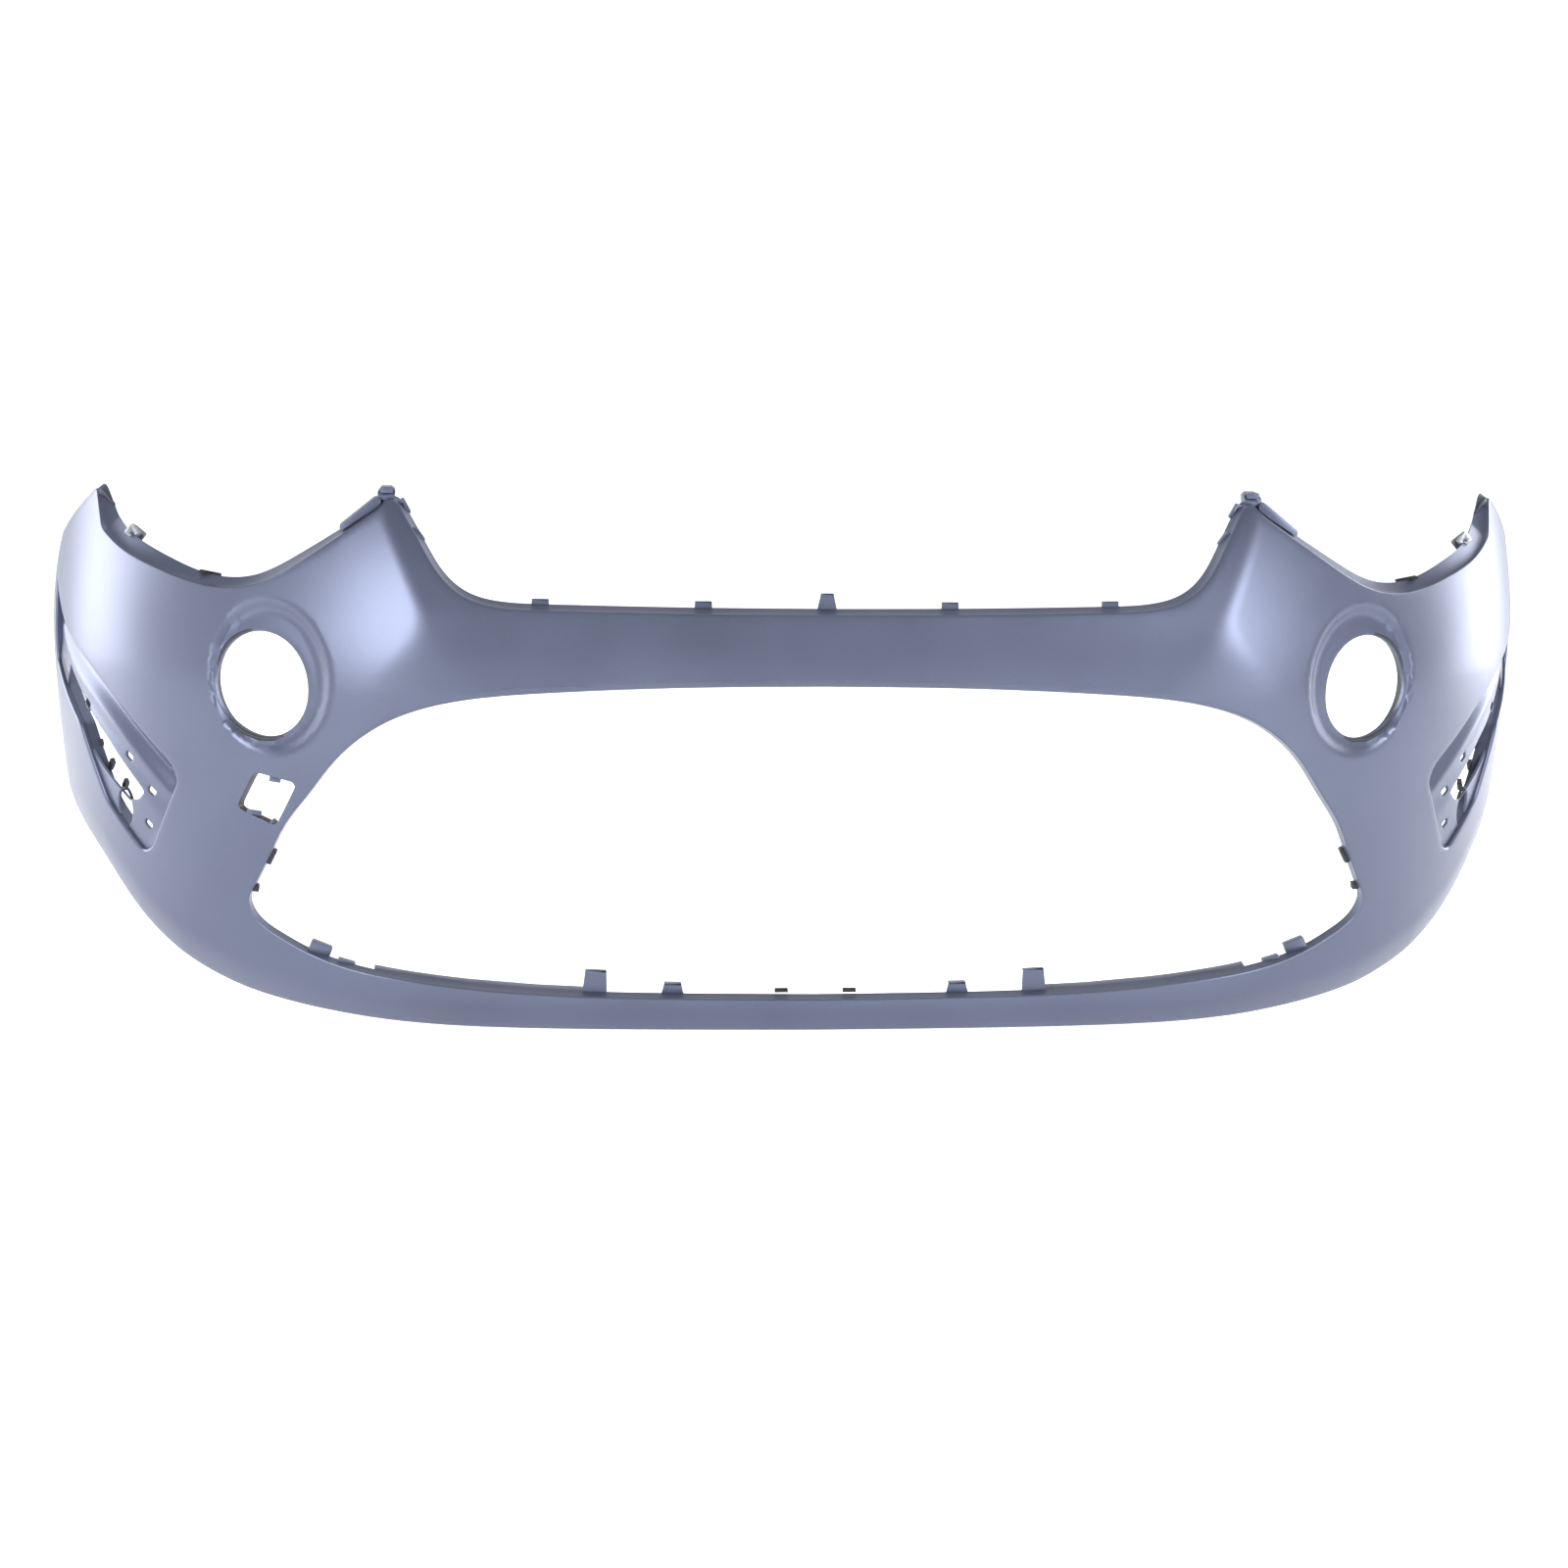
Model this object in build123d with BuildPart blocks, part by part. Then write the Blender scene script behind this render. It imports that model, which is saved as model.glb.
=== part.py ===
"""Front bumper cover of a people carrier, in millimetres.

+Z is up, the front of the car faces -Y and +X is to the right of a person who looks at
the front. The origin is under the middle of the cover, where its lower lip stands.
"left" and "right" in the names are the sides that this person sees.
"""
from build123d import *
import math
import os

os.makedirs("parts", exist_ok=True)

# ---- driving dimensions -----------------------------------------------------------------
HALF_WIDTH = 952.0        # half of the plan curve's width
PLAN_DEPTH = 680.0        # depth that the plan curve would reach at its widest
PLAN_POWER = 2.4          # 2 is an ellipse, more is boxier
SIDE_BULGE = 11.0         # how much wider the sides are at bulge height
BULGE_HEIGHT = 435.0
BULGE_SPREAD = 150.0
FRONT_Y = -258.3          # y of the crossbar's face, so that the origin is in mid depth
BELT_HEIGHT = 425.0       # the surface stands upright here and leans back above and below
LEAN_ABOVE = 80.0         # how far back it leans 240 above the belt
LEAN_BELOW = 95.0         # and 450 below it
LOBE_FORWARD = 60.0       # how far the corners stand in front of the plan curve
BAR_FORWARD = 13.5        # and the crossbar
LIP_BACK = 92.0           # the lower lip lies this far behind the crossbar
TUCK = 30.0               # how far the last 84 above the lower edge are tucked back
LIFT = 11.0               # the outlines' zero height stands this far above the lip's lowest point
DISH_DEPTH = 13.0         # shallow dish round each fog lamp
DISH_WIDTH = 88.0
DISH_HEIGHT = 98.0
WALL = 3.0                # moulded wall
RIM_POINTS = 110          # points that the lower opening's rim is drawn through, each side
STRIP = 36.0              # width of the ruled strips that the curved sheets are made of
TOP_Z = 660.0             # height of the blank that the skin is cut from
REACH_U = 1235.0          # half length of the blank, along the plan curve
FAR = 900.0               # cutters reach this far

FOG_U = 690.0             # fog lamp seat, along the plan curve and up
FOG_Z = 422.0
FOG_RADIUS = 64.0
FOG_YAW = 27.0            # the seat looks this much outwards
FOG_DEPTH = 26.0
FOG_RIM = 6.0             # wall of the tube behind the lamp
FOG_EAR_RADIUS = 9.0
FOG_SCREW_RADIUS = 2.5
TIP_HOLE_RADIUS = 4.5
CLIP_WALL = 1.2           # sheet that the spring clips are folded from
CLIP_HOLE_RADIUS = 2.6
PAN_DEPTH = 22.0          # floor of the side vents, under the skin
PAN_WALL = 2.5
CRUMB = 30.0              # smaller leftovers of a cut, in cubic mm, are dropped
FLANGE_WALL = 2.5         # return flanges
FLANGE_BACK = 20.0        # depth of the flanges on the crossbar and round the opening
LAMP_FLANGE = (4.0, 23.0)     # rise of the headlamp flange at the horn and at the fender
LAMP_FLANGE_BACK = 22.0
VENT_AZIMUTH = 66.0       # the side vents look this much outwards

# ---- outlines: (distance along the plan curve, height), right half ------------------------
TOP_FLANK = [
    (0, 521), (170, 522), (336, 525), (396, 529), (421, 535),
    (443, 546), (464, 565), (485, 595), (505, 626), (519, 648),
]
HORN_TIP = [(531, 648), (541, 636)]
LAMP_EDGE = [(541, 636), (640, 573), (700, 543), (757, 535), (852, 547), (935, 565), (985, 583)]
FENDER_TIP = (1008, 630)
REAR_EDGE = [(1150, 561), (1205, 490), (1222, 400), (1205, 290), (1150, 222)]
BOTTOM_EDGE = [
    (0, -11), (300, -8), (450, -3), (630, 10), (725, 24),
    (835, 58), (912, 99), (1010, 163), (1100, 200),
]
BOTTOM_TURN = 7           # the outline's point where the front's edge becomes the side's
GRILLE = [
    (0, 436), (170, 434), (337, 427), (466, 411), (526, 389), (562, 366), (595, 336), (632, 291),
    (666, 249), (694, 198), (714, 163), (720, 148), (715, 132), (702, 118), (675, 103), (632, 85),
    (580, 71), (514, 61), (436, 52), (333, 43), (169, 37), (0, 35),
]
VENT = [
    (1175, 500), (1098, 449), (1002, 411), (926, 369), (838, 309), (829, 288),
    (884, 194), (903, 186), (973, 237), (1054, 329), (1175, 396),
]
VENT_SLOT = [
    (1168, 440), (1060, 366), (985, 322), (915, 268),
    (935, 248), (1000, 280), (1090, 335), (1165, 385),
]
VENT_WINDOWS = [(915, 215), (1120, 372)]
VENT_LAMP = (990, 225)
VENT_HOOKS = [(1082, 326), (1040, 300), (1005, 280), (968, 259)]
LAMP_STRIPS = [(651, 577, -31), (782, 551, 11)]
HORN_LOOPS = [(511, 644, 62), (493, 612, 55)]
FLANK_HOOKS = [(694, 202, -64, 20), (718, 158, -84, 9)]
CORNER_TABS = [(627, 86, 22, 27, 14), (592, 69, 17, 22, 9)]
TOW_CLIPS = [(-677, 306, -10, 14), (-710, 260, -10, 18), (-648, 303, -60, 8), (-682, 251, 40, 8)]
TOW_EYE = [(-705, 314), (-646, 305), (-678, 248), (-734, 266)]


# ---- the outer surface --------------------------------------------------------------------
def plan_curve(steps=4000):
    """Distance along the superellipse, x and y, from the middle outwards."""
    rows = [(0.0, 0.0, 0.0)]
    for i in range(1, steps + 1):
        turn = math.pi / 2 * 0.985 * i / steps
        x = HALF_WIDTH * math.sin(turn) ** (2 / PLAN_POWER)
        y = PLAN_DEPTH * (1 - math.cos(turn) ** (2 / PLAN_POWER))
        run = rows[-1][0] + math.hypot(x - rows[-1][1], y - rows[-1][2])
        rows.append((run, x, y))
    return rows


PLAN = plan_curve()


def plan_point(u):
    """x and y of the plan curve at distance u."""
    low, high = 0, len(PLAN) - 1
    while high - low > 1:
        middle = (low + high) // 2
        if PLAN[middle][0] <= abs(u):
            low = middle
        else:
            high = middle
    a, b = PLAN[low], PLAN[high]
    part = (abs(u) - a[0]) / (b[0] - a[0])
    x = a[1] + part * (b[1] - a[1])
    return math.copysign(x, u), a[2] + part * (b[2] - a[2])


def ease(low, high, value):
    """0 below low, 1 above high, smooth between."""
    part = min(1.0, max(0.0, (value - low) / (high - low)))
    return part * part * (3 - 2 * part)


def soft_max(a, b, blend):
    part = min(1.0, max(0.0, 0.5 + 0.5 * (a - b) / blend))
    return b * (1 - part) + a * part + blend * part * (1 - part)


def bottom_height(u):
    """Height of the lower edge, read off the bottom outline."""
    u = abs(u)
    for a, b in zip(BOTTOM_EDGE, BOTTOM_EDGE[1:]):
        if u <= b[0]:
            return a[1] + (b[1] - a[1]) * (u - a[0]) / (b[0] - a[0])
    return BOTTOM_EDGE[-1][1]


def skin_point(u, z):
    """A point of the outer surface."""
    x, y = plan_point(u)
    x *= 1 + SIDE_BULGE / HALF_WIDTH * math.exp(-((z - BULGE_HEIGHT) / BULGE_SPREAD) ** 2)
    rise = max(0.0, z - BELT_HEIGHT)
    fall = max(0.0, BELT_HEIGHT - z)
    lean = LEAN_ABOVE * (rise / 240) ** 2 + LEAN_BELOW * (fall / 450) ** 1.3
    lobe = y - LOBE_FORWARD + lean
    bar = 0.15 * (z - 443) - BAR_FORWARD + lean
    lip = LIP_BACK * (fall / 450) ** 1.2
    middle = soft_max(bar, lip, 14)
    y = soft_max(lobe, middle, 10 + 20 * (1 - ease(380, 560, z)))
    y += TUCK * ease(0, 84, bottom_height(u) + 42 - z)
    dish = math.hypot((abs(u) - FOG_U + 10) / DISH_WIDTH, (z - FOG_Z - 10) / DISH_HEIGHT)
    y += DISH_DEPTH * (1 - ease(0.74, 1.0, dish))
    return Vector(x, FRONT_Y + y, z + LIFT)


def under_skin(u, z, depth):
    """The point that lies depth behind the outer surface, square to it."""
    point = skin_point(u, z)
    if depth == 0:
        return point
    along = skin_point(u + 2, z) - skin_point(u - 2, z)
    up = skin_point(u, z + 2) - skin_point(u, z - 2)
    inward = up.cross(along).normalized()
    return point + inward * depth


def spread(low, high, step):
    """Evenly spaced values from low to high, about step apart."""
    count = max(2, round((high - low) / step))
    return [low + (high - low) * i / count for i in range(count + 1)]


def sheet(us, zs, near, far):
    """A solid between two depths under the outer surface, made of upright ruled strips."""
    curves = [[Edge.make_spline([under_skin(u, z, d) for z in zs]) for d in (near, far)] for u in us]
    ends = [[Edge.make_line(outer @ k, inner @ k) for k in (0, 1)] for outer, inner in curves]
    faces = [Face.make_surface_from_curves(*curves[0]), Face.make_surface_from_curves(*curves[-1])]
    for i in range(len(us) - 1):
        for here, there in zip(curves[i] + ends[i], curves[i + 1] + ends[i + 1]):
            faces.append(Face.make_surface_from_curves(here, there))
    return Solid(Shell(faces))


def trace(points, count=24):
    """Points of a smooth curve through a few outline points, as (u, z) pairs."""
    curve = Edge.make_spline([Vector(u, z, 0) for u, z in points])
    places = [curve @ (i / count) for i in range(count + 1)]
    return [(p.X, p.Y) for p in places]


def seen_from(plane, points, depth=0):
    """Where outline points fall on a plane, as its own x and y."""
    placed = [plane.to_local_coords(under_skin(u, z, depth)) for u, z in points]
    return [(p.X, p.Y) for p in placed]


def ribbon(points, rise, back, toward=1):
    """A flange that starts in the skin's edge and runs back and away from it."""
    starts, ends = [], []
    for i, (u, z) in enumerate(points):
        before = skin_point(*points[max(i - 1, 0)])
        after = skin_point(*points[min(i + 1, len(points) - 1)])
        run = Vector(after.X - before.X, 0, after.Z - before.Z).normalized()
        away = Vector(-run.Z, 0, run.X) * toward
        share = i / (len(points) - 1)
        height = rise[0] + (rise[1] - rise[0]) * share
        start = under_skin(u, z, 1.2) - away * 0.8
        starts.append((start, away))
        ends.append(start + away * height + Vector(0, back, 0))
    near = [Edge.make_spline([p for p, _ in starts]), Edge.make_spline(ends)]
    far = [
        Edge.make_spline([p - away * FLANGE_WALL for p, away in starts]),
        Edge.make_spline([e - away * FLANGE_WALL for e, (_, away) in zip(ends, starts)]),
    ]
    loop = [near[0], near[1], far[1], far[0]]
    faces = [Face.make_surface_from_curves(loop[i], loop[(i + 1) % 4]) for i in range(4)]
    for k in (0, 1):
        faces.append(Face.make_surface_from_curves(
            Edge.make_line(near[0] @ k, near[1] @ k), Edge.make_line(far[0] @ k, far[1] @ k)))
    return Solid(Shell(faces))


def flipped(solid, side):
    """The piece as built for the right, or its mirror image for the left."""
    return solid if side > 0 else solid.mirror(Plane.YZ)


def edge_plane(u, z, turn, depth):
    """A plane behind the skin: x along the edge, turned from level, y away from the skin."""
    along = Vector(math.cos(math.radians(turn)), 0, math.sin(math.radians(turn)))
    return Plane(origin=under_skin(u, z, depth), x_dir=along, z_dir=(0, -1, 0))


def side_plane(u, z, azimuth, depth=0):
    """A plane that faces outwards at a compass angle from straight ahead."""
    turn = math.radians(azimuth)
    return Plane(
        origin=under_skin(u, z, depth),
        x_dir=(math.cos(turn), math.sin(turn), 0),
        z_dir=(math.sin(turn), -math.cos(turn), 0),
    )


# ---- the skin -----------------------------------------------------------------------------
def top_cutter(front):
    """Everything above the crossbar, the horns and the headlamp edges."""
    top = seen_from(front, trace(TOP_FLANK, 30))
    lamp = seen_from(front, trace(LAMP_EDGE))
    horn = seen_from(front, HORN_TIP)
    tip = seen_from(front, [FENDER_TIP])[0]
    with BuildPart() as cutter:
        with BuildSketch(front):
            with BuildLine():
                Spline(*top)
                Polyline(top[-1], horn[0], lamp[0])
                Spline(*lamp)
                Polyline(lamp[-1], tip, (tip[0], TOP_Z + 50), (0, TOP_Z + 50), top[0])
            make_face()
            mirror(about=Plane.YZ)
        extrude(amount=FAR, both=True)
    return cutter.part


def bottom_cutter(front):
    """Everything below the lower lip and its sweep up to the sides."""
    low = seen_from(front, trace(BOTTOM_EDGE[:BOTTOM_TURN + 1]))
    with BuildPart() as cutter:
        with BuildSketch(front):
            with BuildLine():
                Spline(*low)
                Polyline(low[-1], (low[-1][0], -50), (0, -50), low[0])
            make_face()
            mirror(about=Plane.YZ)
        extrude(amount=FAR, both=True)
    return cutter.part


def side_cutter():
    """Everything behind the wheel arch edge, above the fender edge and below the side."""
    across = Plane.YZ
    rear = seen_from(across, trace(REAR_EDGE))
    tip = seen_from(across, [FENDER_TIP])[0]
    low = seen_from(across, BOTTOM_EDGE[BOTTOM_TURN:])
    with BuildPart() as cutter:
        with BuildSketch(across):
            with BuildLine():
                Polyline((tip[0], TOP_Z + 50), tip, rear[0])
                Spline(*rear)
                Polyline(rear[-1], low[1], low[0], (low[0][0], -50), (FAR, -50),
                         (FAR, TOP_Z + 50), (tip[0], TOP_Z + 50))
            make_face()
        extrude(amount=FAR + 200, both=True)
    return cutter.part


def grille_cutter(front):
    rim = seen_from(front, trace(GRILLE, RIM_POINTS))
    with BuildPart() as cutter:
        with BuildSketch(front):
            with BuildLine():
                Spline(*rim, tangents=[(1, 0), (-1, 0)])
                Line(rim[-1], rim[0])
            make_face()
            mirror(about=Plane.YZ)
        extrude(amount=FAR, both=True)
    return cutter.part


def fog_cutter():
    with BuildPart() as cutter:
        with BuildSketch(side_plane(FOG_U, FOG_Z, FOG_YAW)):
            Circle(FOG_RADIUS)
        extrude(amount=60, both=True)
    return cutter.part


def vent_cutter(grow=0.0):
    """The outline of a side vent, grown evenly where the pan behind it needs to be larger."""
    plane = side_plane(1000, 340, VENT_AZIMUTH)
    with BuildPart() as cutter:
        with BuildSketch(plane):
            with BuildLine():
                Polyline(*seen_from(plane, VENT), close=True)
            make_face()
            fillet(vertices(), 6)
            if grow:
                offset(amount=grow)
        extrude(amount=170, both=True)
    return cutter.part


def tow_eye_cutter(front):
    with BuildPart() as cutter:
        with BuildSketch(front):
            with BuildLine():
                Polyline(*seen_from(front, TOW_EYE), close=True)
            make_face()
            fillet(vertices(), 8)
        extrude(amount=300, both=True)
    return cutter.part


def cover_skin():
    front = Plane.XZ
    with BuildPart() as skin:
        add(sheet(spread(-REACH_U, REACH_U, STRIP), spread(-2 * LIFT, TOP_Z, STRIP), 0, WALL))
        for cutter in (top_cutter(front), bottom_cutter(front), side_cutter(), grille_cutter(front)):
            add(cutter, mode=Mode.SUBTRACT)
        for side in (-1, 1):
            add(flipped(fog_cutter(), side), mode=Mode.SUBTRACT)
            add(flipped(vent_cutter(), side), mode=Mode.SUBTRACT)
        add(tow_eye_cutter(front), mode=Mode.SUBTRACT)
        for side in (-1, 1):
            lamp = ribbon(trace(LAMP_EDGE), LAMP_FLANGE, LAMP_FLANGE_BACK)
            top = ribbon(trace(TOP_FLANK, 30), (5, 5), FLANGE_BACK)
            grille = ribbon(trace(GRILLE, RIM_POINTS), (3, 3), FLANGE_BACK, toward=-1)
            for flange in (lamp, top, grille):
                add(flipped(flange, side))
    return skin.part


# ---- side vents ---------------------------------------------------------------------------
def vent_pan():
    """The sunk floor of the side vent, with its slot, lamp hole, clip windows and rim wall."""
    plane = side_plane(1000, 340, VENT_AZIMUTH)
    us, zs = spread(800, REACH_U, 29), spread(165, 530, 30)
    slot = seen_from(plane, VENT_SLOT, PAN_DEPTH)
    windows = seen_from(plane, VENT_WINDOWS, PAN_DEPTH)
    lamp = seen_from(plane, [VENT_LAMP], PAN_DEPTH)[0]
    with BuildPart() as pan:
        add(sheet(us, zs, PAN_DEPTH, PAN_DEPTH + PAN_WALL))
        add(vent_cutter(-0.5), mode=Mode.INTERSECT)
        with BuildSketch(plane):
            with BuildLine():
                Polyline(*slot, close=True)
            make_face()
            with Locations(lamp):
                Ellipse(15, 27, rotation=10)
            with Locations(*windows):
                Rectangle(9, 14, rotation=-25)
        extrude(amount=170, both=True, mode=Mode.SUBTRACT)
    with BuildPart() as rim:
        add(sheet(us, zs, 0.6, PAN_DEPTH + PAN_WALL))
        add(vent_cutter(0.4), mode=Mode.INTERSECT)
        add(vent_cutter(-2.2), mode=Mode.SUBTRACT)
    with BuildPart() as whole:
        add(pan.part)
        add(rim.part)
    return whole.part


def vent_hooks():
    """Snap hooks along the lower edge of the vent's slot."""
    with BuildPart() as hooks:
        for u, z in VENT_HOOKS:
            with BuildSketch(side_plane(u, z, VENT_AZIMUTH, PAN_DEPTH - 5)):
                RectangleRounded(16, 9, 2, rotation=-48)
                Rectangle(8, 3, rotation=-48, mode=Mode.SUBTRACT)
            extrude(amount=-5)
    return hooks.part


# ---- fog lamp seats -----------------------------------------------------------------------
def fog_collar():
    """The short tube behind the skin that the fog lamp sits in, with three screw ears."""
    seat = side_plane(FOG_U, FOG_Z, FOG_YAW, WALL)
    with BuildPart() as collar:
        with BuildSketch(seat.offset(8)):
            Circle(FOG_RADIUS + FOG_RIM)
            Circle(FOG_RADIUS, mode=Mode.SUBTRACT)
        extrude(amount=-FOG_DEPTH - 8)
        with BuildSketch(seat.offset(-FOG_DEPTH)):
            with PolarLocations(FOG_RADIUS + 13, 3, 30):
                Circle(FOG_EAR_RADIUS)
            Circle(FOG_RADIUS + 2, mode=Mode.SUBTRACT)
        extrude(amount=4)
        with BuildSketch(seat.offset(-FOG_DEPTH)):
            with PolarLocations(FOG_RADIUS + 15, 3, 30):
                Circle(FOG_SCREW_RADIUS)
        extrude(amount=10, both=True, mode=Mode.SUBTRACT)
    return collar.part


# ---- headlamp edge and horns ----------------------------------------------------------------
def corner_bracket():
    """Three-cornered black plate at the fender tip, with its screw hole."""
    plane = Plane(origin=under_skin(1003, 620, 4), x_dir=(0.75, 0.66, 0), z_dir=(0.66, -0.75, 0))
    with BuildPart() as bracket:
        with BuildSketch(plane):
            with BuildLine():
                Polyline((1, 12), (1, -14), (-23, -15), (-24, -8), close=True)
            make_face()
            fillet(vertices(), 2.5)
            with Locations((-7, -5)):
                Circle(TIP_HOLE_RADIUS, mode=Mode.SUBTRACT)
        extrude(amount=-2.5)
    return bracket.part


def tip_clip():
    """Folded spring clip pushed over the flange under the fender tip."""
    with BuildPart() as clip:
        with BuildSketch(edge_plane(930, 586, 40, 14)):
            RectangleRounded(18, 14, 2)
            with Locations((0, -1)):
                Circle(CLIP_HOLE_RADIUS, mode=Mode.SUBTRACT)
        extrude(amount=-CLIP_WALL)
        with BuildSketch(edge_plane(930, 586, 40, 21)):
            RectangleRounded(18, 14, 2)
            with Locations((0, -1)):
                Circle(CLIP_HOLE_RADIUS, mode=Mode.SUBTRACT)
        extrude(amount=-CLIP_WALL)
        with BuildSketch(edge_plane(930, 586, 40, 14)):
            with Locations((0, 7.4)):
                Rectangle(14, CLIP_WALL)
        extrude(amount=-7 - CLIP_WALL)
    return clip.part


def lamp_edge_strips():
    """Two soft strips on the headlamp flange that the lamp rests on."""
    with BuildPart() as strips:
        for u, z, turn in LAMP_STRIPS:
            with BuildSketch(edge_plane(u, z, turn, 16)):
                RectangleRounded(27, 4, 1.5)
            extrude(amount=-10)
    return strips.part


def horn_cap():
    """Rounded block that closes the top of the horn and hooks over the grille frame."""
    with BuildPart() as cap:
        with BuildSketch(edge_plane(531, 655, 0, 2)):
            with BuildLine():
                Polyline((-9, -8), (-10, 3), (-6, 7), (6, 7), (11, 1), (11, -8), close=True)
            make_face()
            fillet(vertices(), 2)
        extrude(amount=-26)
        with BuildSketch(edge_plane(531, 655, 0, 2)):
            with Locations((0, 1)):
                Circle(2)
        extrude(amount=-6, mode=Mode.SUBTRACT)
        add(sheet(spread(480, 590, 36), spread(590, 680, 30), -20, WALL + 0.2), mode=Mode.SUBTRACT)
        with BuildSketch(edge_plane(531, 655, 0, 0)):
            with Locations((0, 3)):
                RectangleRounded(15, 7, 2)
        extrude(amount=-6)
    return cap.part


def horn_lip():
    """Raised ledge on the headlamp side of the horn, with a rounded lower end."""
    with BuildPart() as lip:
        with BuildSketch(edge_plane(566, 631, -39, 5)):
            SlotOverall(60, 11)
        extrude(amount=-16)
    return lip.part


def horn_loops():
    """Two open loops on the inner flank of the horn that take the grille's tongues."""
    with BuildPart() as loops:
        for u, z, turn in HORN_LOOPS:
            with BuildSketch(edge_plane(u, z, turn, 12)):
                RectangleRounded(20, 13, 2)
                Rectangle(11, 5, mode=Mode.SUBTRACT)
            extrude(amount=-9)
    return loops.part


# ---- tabs and hooks on the grille edges -------------------------------------------------------
def tab(u, z, turn, depth, foot, top, height, wall=2.2, lip=5.0):
    """An upright tongue, foot wide below and top wide above, with a small lip to the rear."""
    plane = edge_plane(u, z, turn, depth)
    with BuildPart() as tongue:
        with BuildSketch(plane):
            with BuildLine():
                Polyline((-foot / 2, 0), (foot / 2, 0), (top / 2, height), (-top / 2, height), close=True)
            make_face()
        extrude(amount=-wall)
        with BuildSketch(plane):
            with Locations((0, height - wall / 2)):
                Rectangle(top, wall)
        extrude(amount=-lip)
    return tongue.part


def tabs(rows, both_sides=True, **shape):
    """A group of tongues at the given places: distance, height and turn."""
    with BuildPart() as group:
        for u, z, turn in rows:
            tongue = tab(u, z, turn, **shape)
            add(tongue)
            if both_sides:
                add(flipped(tongue, -1))
    return group.part


def edge_hooks():
    """Snap hooks on the upright flanks of the lower opening."""
    with BuildPart() as hooks:
        for u, z, turn, length in FLANK_HOOKS:
            with BuildSketch(edge_plane(u, z, turn, 12)):
                RectangleRounded(length, 8, 1.5)
            extrude(amount=-12)
            with BuildSketch(edge_plane(u, z, turn, 12)):
                with Locations((0, 5)):
                    Rectangle(length * 0.6, 4)
            extrude(amount=-4)
    return hooks.part


def corner_tabs():
    """Two stepped blocks on the lower corner of the opening."""
    with BuildPart() as blocks:
        for u, z, turn, length, height in CORNER_TABS:
            with BuildSketch(edge_plane(u, z, turn, 14)):
                RectangleRounded(length, height, 2)
            extrude(amount=-14)
    return blocks.part


def lower_shelf():
    """Stiffening shelf behind the lower lip, with the slots that hold the grille."""
    line = [(u, z) for u, z in trace(GRILLE, RIM_POINTS) if u < 560 and z < 80 and u > 270]
    with BuildPart() as shelf:
        add(ribbon([(u, z - 3) for u, z in line], (6, 6), 44, toward=-1))
        add(sheet(spread(240, 600, STRIP), spread(-2 * LIFT, 120, 30), -40, 23), mode=Mode.SUBTRACT)
    return shelf.part.solids().sort_by(SortBy.VOLUME)[-1]


def tow_eye_clips():
    """Four nibs round the tow eye opening that its lid snaps on."""
    with BuildPart() as clips:
        for u, z, turn, length in TOW_CLIPS:
            with BuildSketch(edge_plane(u, z, turn, 2.5)):
                RectangleRounded(length, 6, 1)
            extrude(amount=-8)
    return clips.part


# ---- build and write ------------------------------------------------------------------------
def write(name, solid):
    solid.label = name
    export_step(solid, f"parts/{name}.step")


def clear_of(piece, *neighbours):
    """The piece without what it shares with its neighbours, and without loose crumbs."""
    with BuildPart() as trimmed:
        add(piece)
        for neighbour in neighbours:
            add(neighbour, mode=Mode.SUBTRACT)
    return Compound([s for s in trimmed.part.solids() if s.volume > CRUMB])


def behind(pieces):
    """The largest of the pieces that the skin cut apart, which is the one behind it."""
    return pieces.solids().sort_by(SortBy.VOLUME)[-1]


skin = cover_skin()
write("cover_skin", skin)

pan = clear_of(vent_pan(), skin)
lip = clear_of(horn_lip(), skin)
pairs = {
    "vent_pan": pan,
    "vent_hooks": clear_of(vent_hooks(), pan),
    "fog_collar": behind(clear_of(fog_collar(), skin)),
    "corner_bracket": clear_of(corner_bracket(), skin),
    "tip_clip": clear_of(tip_clip(), skin),
    "lamp_edge_strips": clear_of(lamp_edge_strips(), skin),
    "horn_lip": lip,
    "horn_cap": clear_of(horn_cap(), skin, lip),
    "horn_loops": clear_of(horn_loops(), skin),
    "opening_hooks": clear_of(edge_hooks(), skin),
    "lower_corner_tabs": clear_of(corner_tabs(), skin),
    "lower_shelf": clear_of(lower_shelf(), skin),
}
for name, piece in pairs.items():
    write(f"{name}_right", piece)
    write(f"{name}_left", flipped(piece, -1))

small_tab = {"depth": 18, "foot": 21, "top": 20, "height": 9}
rows = {
    "crossbar_tabs": tabs([(147, 532, 0), (341, 534, 1)], **small_tab),
    "crossbar_centre_tab": tabs([(0, 531, 0)], False, depth=18, foot=24, top=15, height=20),
    "lower_tall_tabs": tabs([(272, 38, 3)], depth=18, foot=30, top=26, height=27, lip=8),
    "lower_wide_tabs": tabs([(176, 36, 1)], depth=18, foot=27, top=21, height=12, lip=12),
    "lower_small_tabs": tabs([(42, 36, 0)], depth=18, foot=17, top=16, height=5),
    "tow_eye_clips": tow_eye_clips(),
}
for name, piece in rows.items():
    write(name, clear_of(piece, skin))
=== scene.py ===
# %% [markdown]
# # A bumper cover, rebuilt in Blender
#
# A bumper cover is one large thin moulding in primed polypropylene. This lesson makes its
# curved skin from a formula, and then the small features that the moulding carries: side
# vents, lamp tubes, tabs, hooks and clips. Each piece stands for one node of the CAD model,
# in the same place, so the first step is to load that model.

# %% Load the CAD frame
import math

import bmesh
import bpy
import numpy as np
from mathutils import Matrix, Vector
from mathutils.geometry import delaunay_2d_cdt


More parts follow.
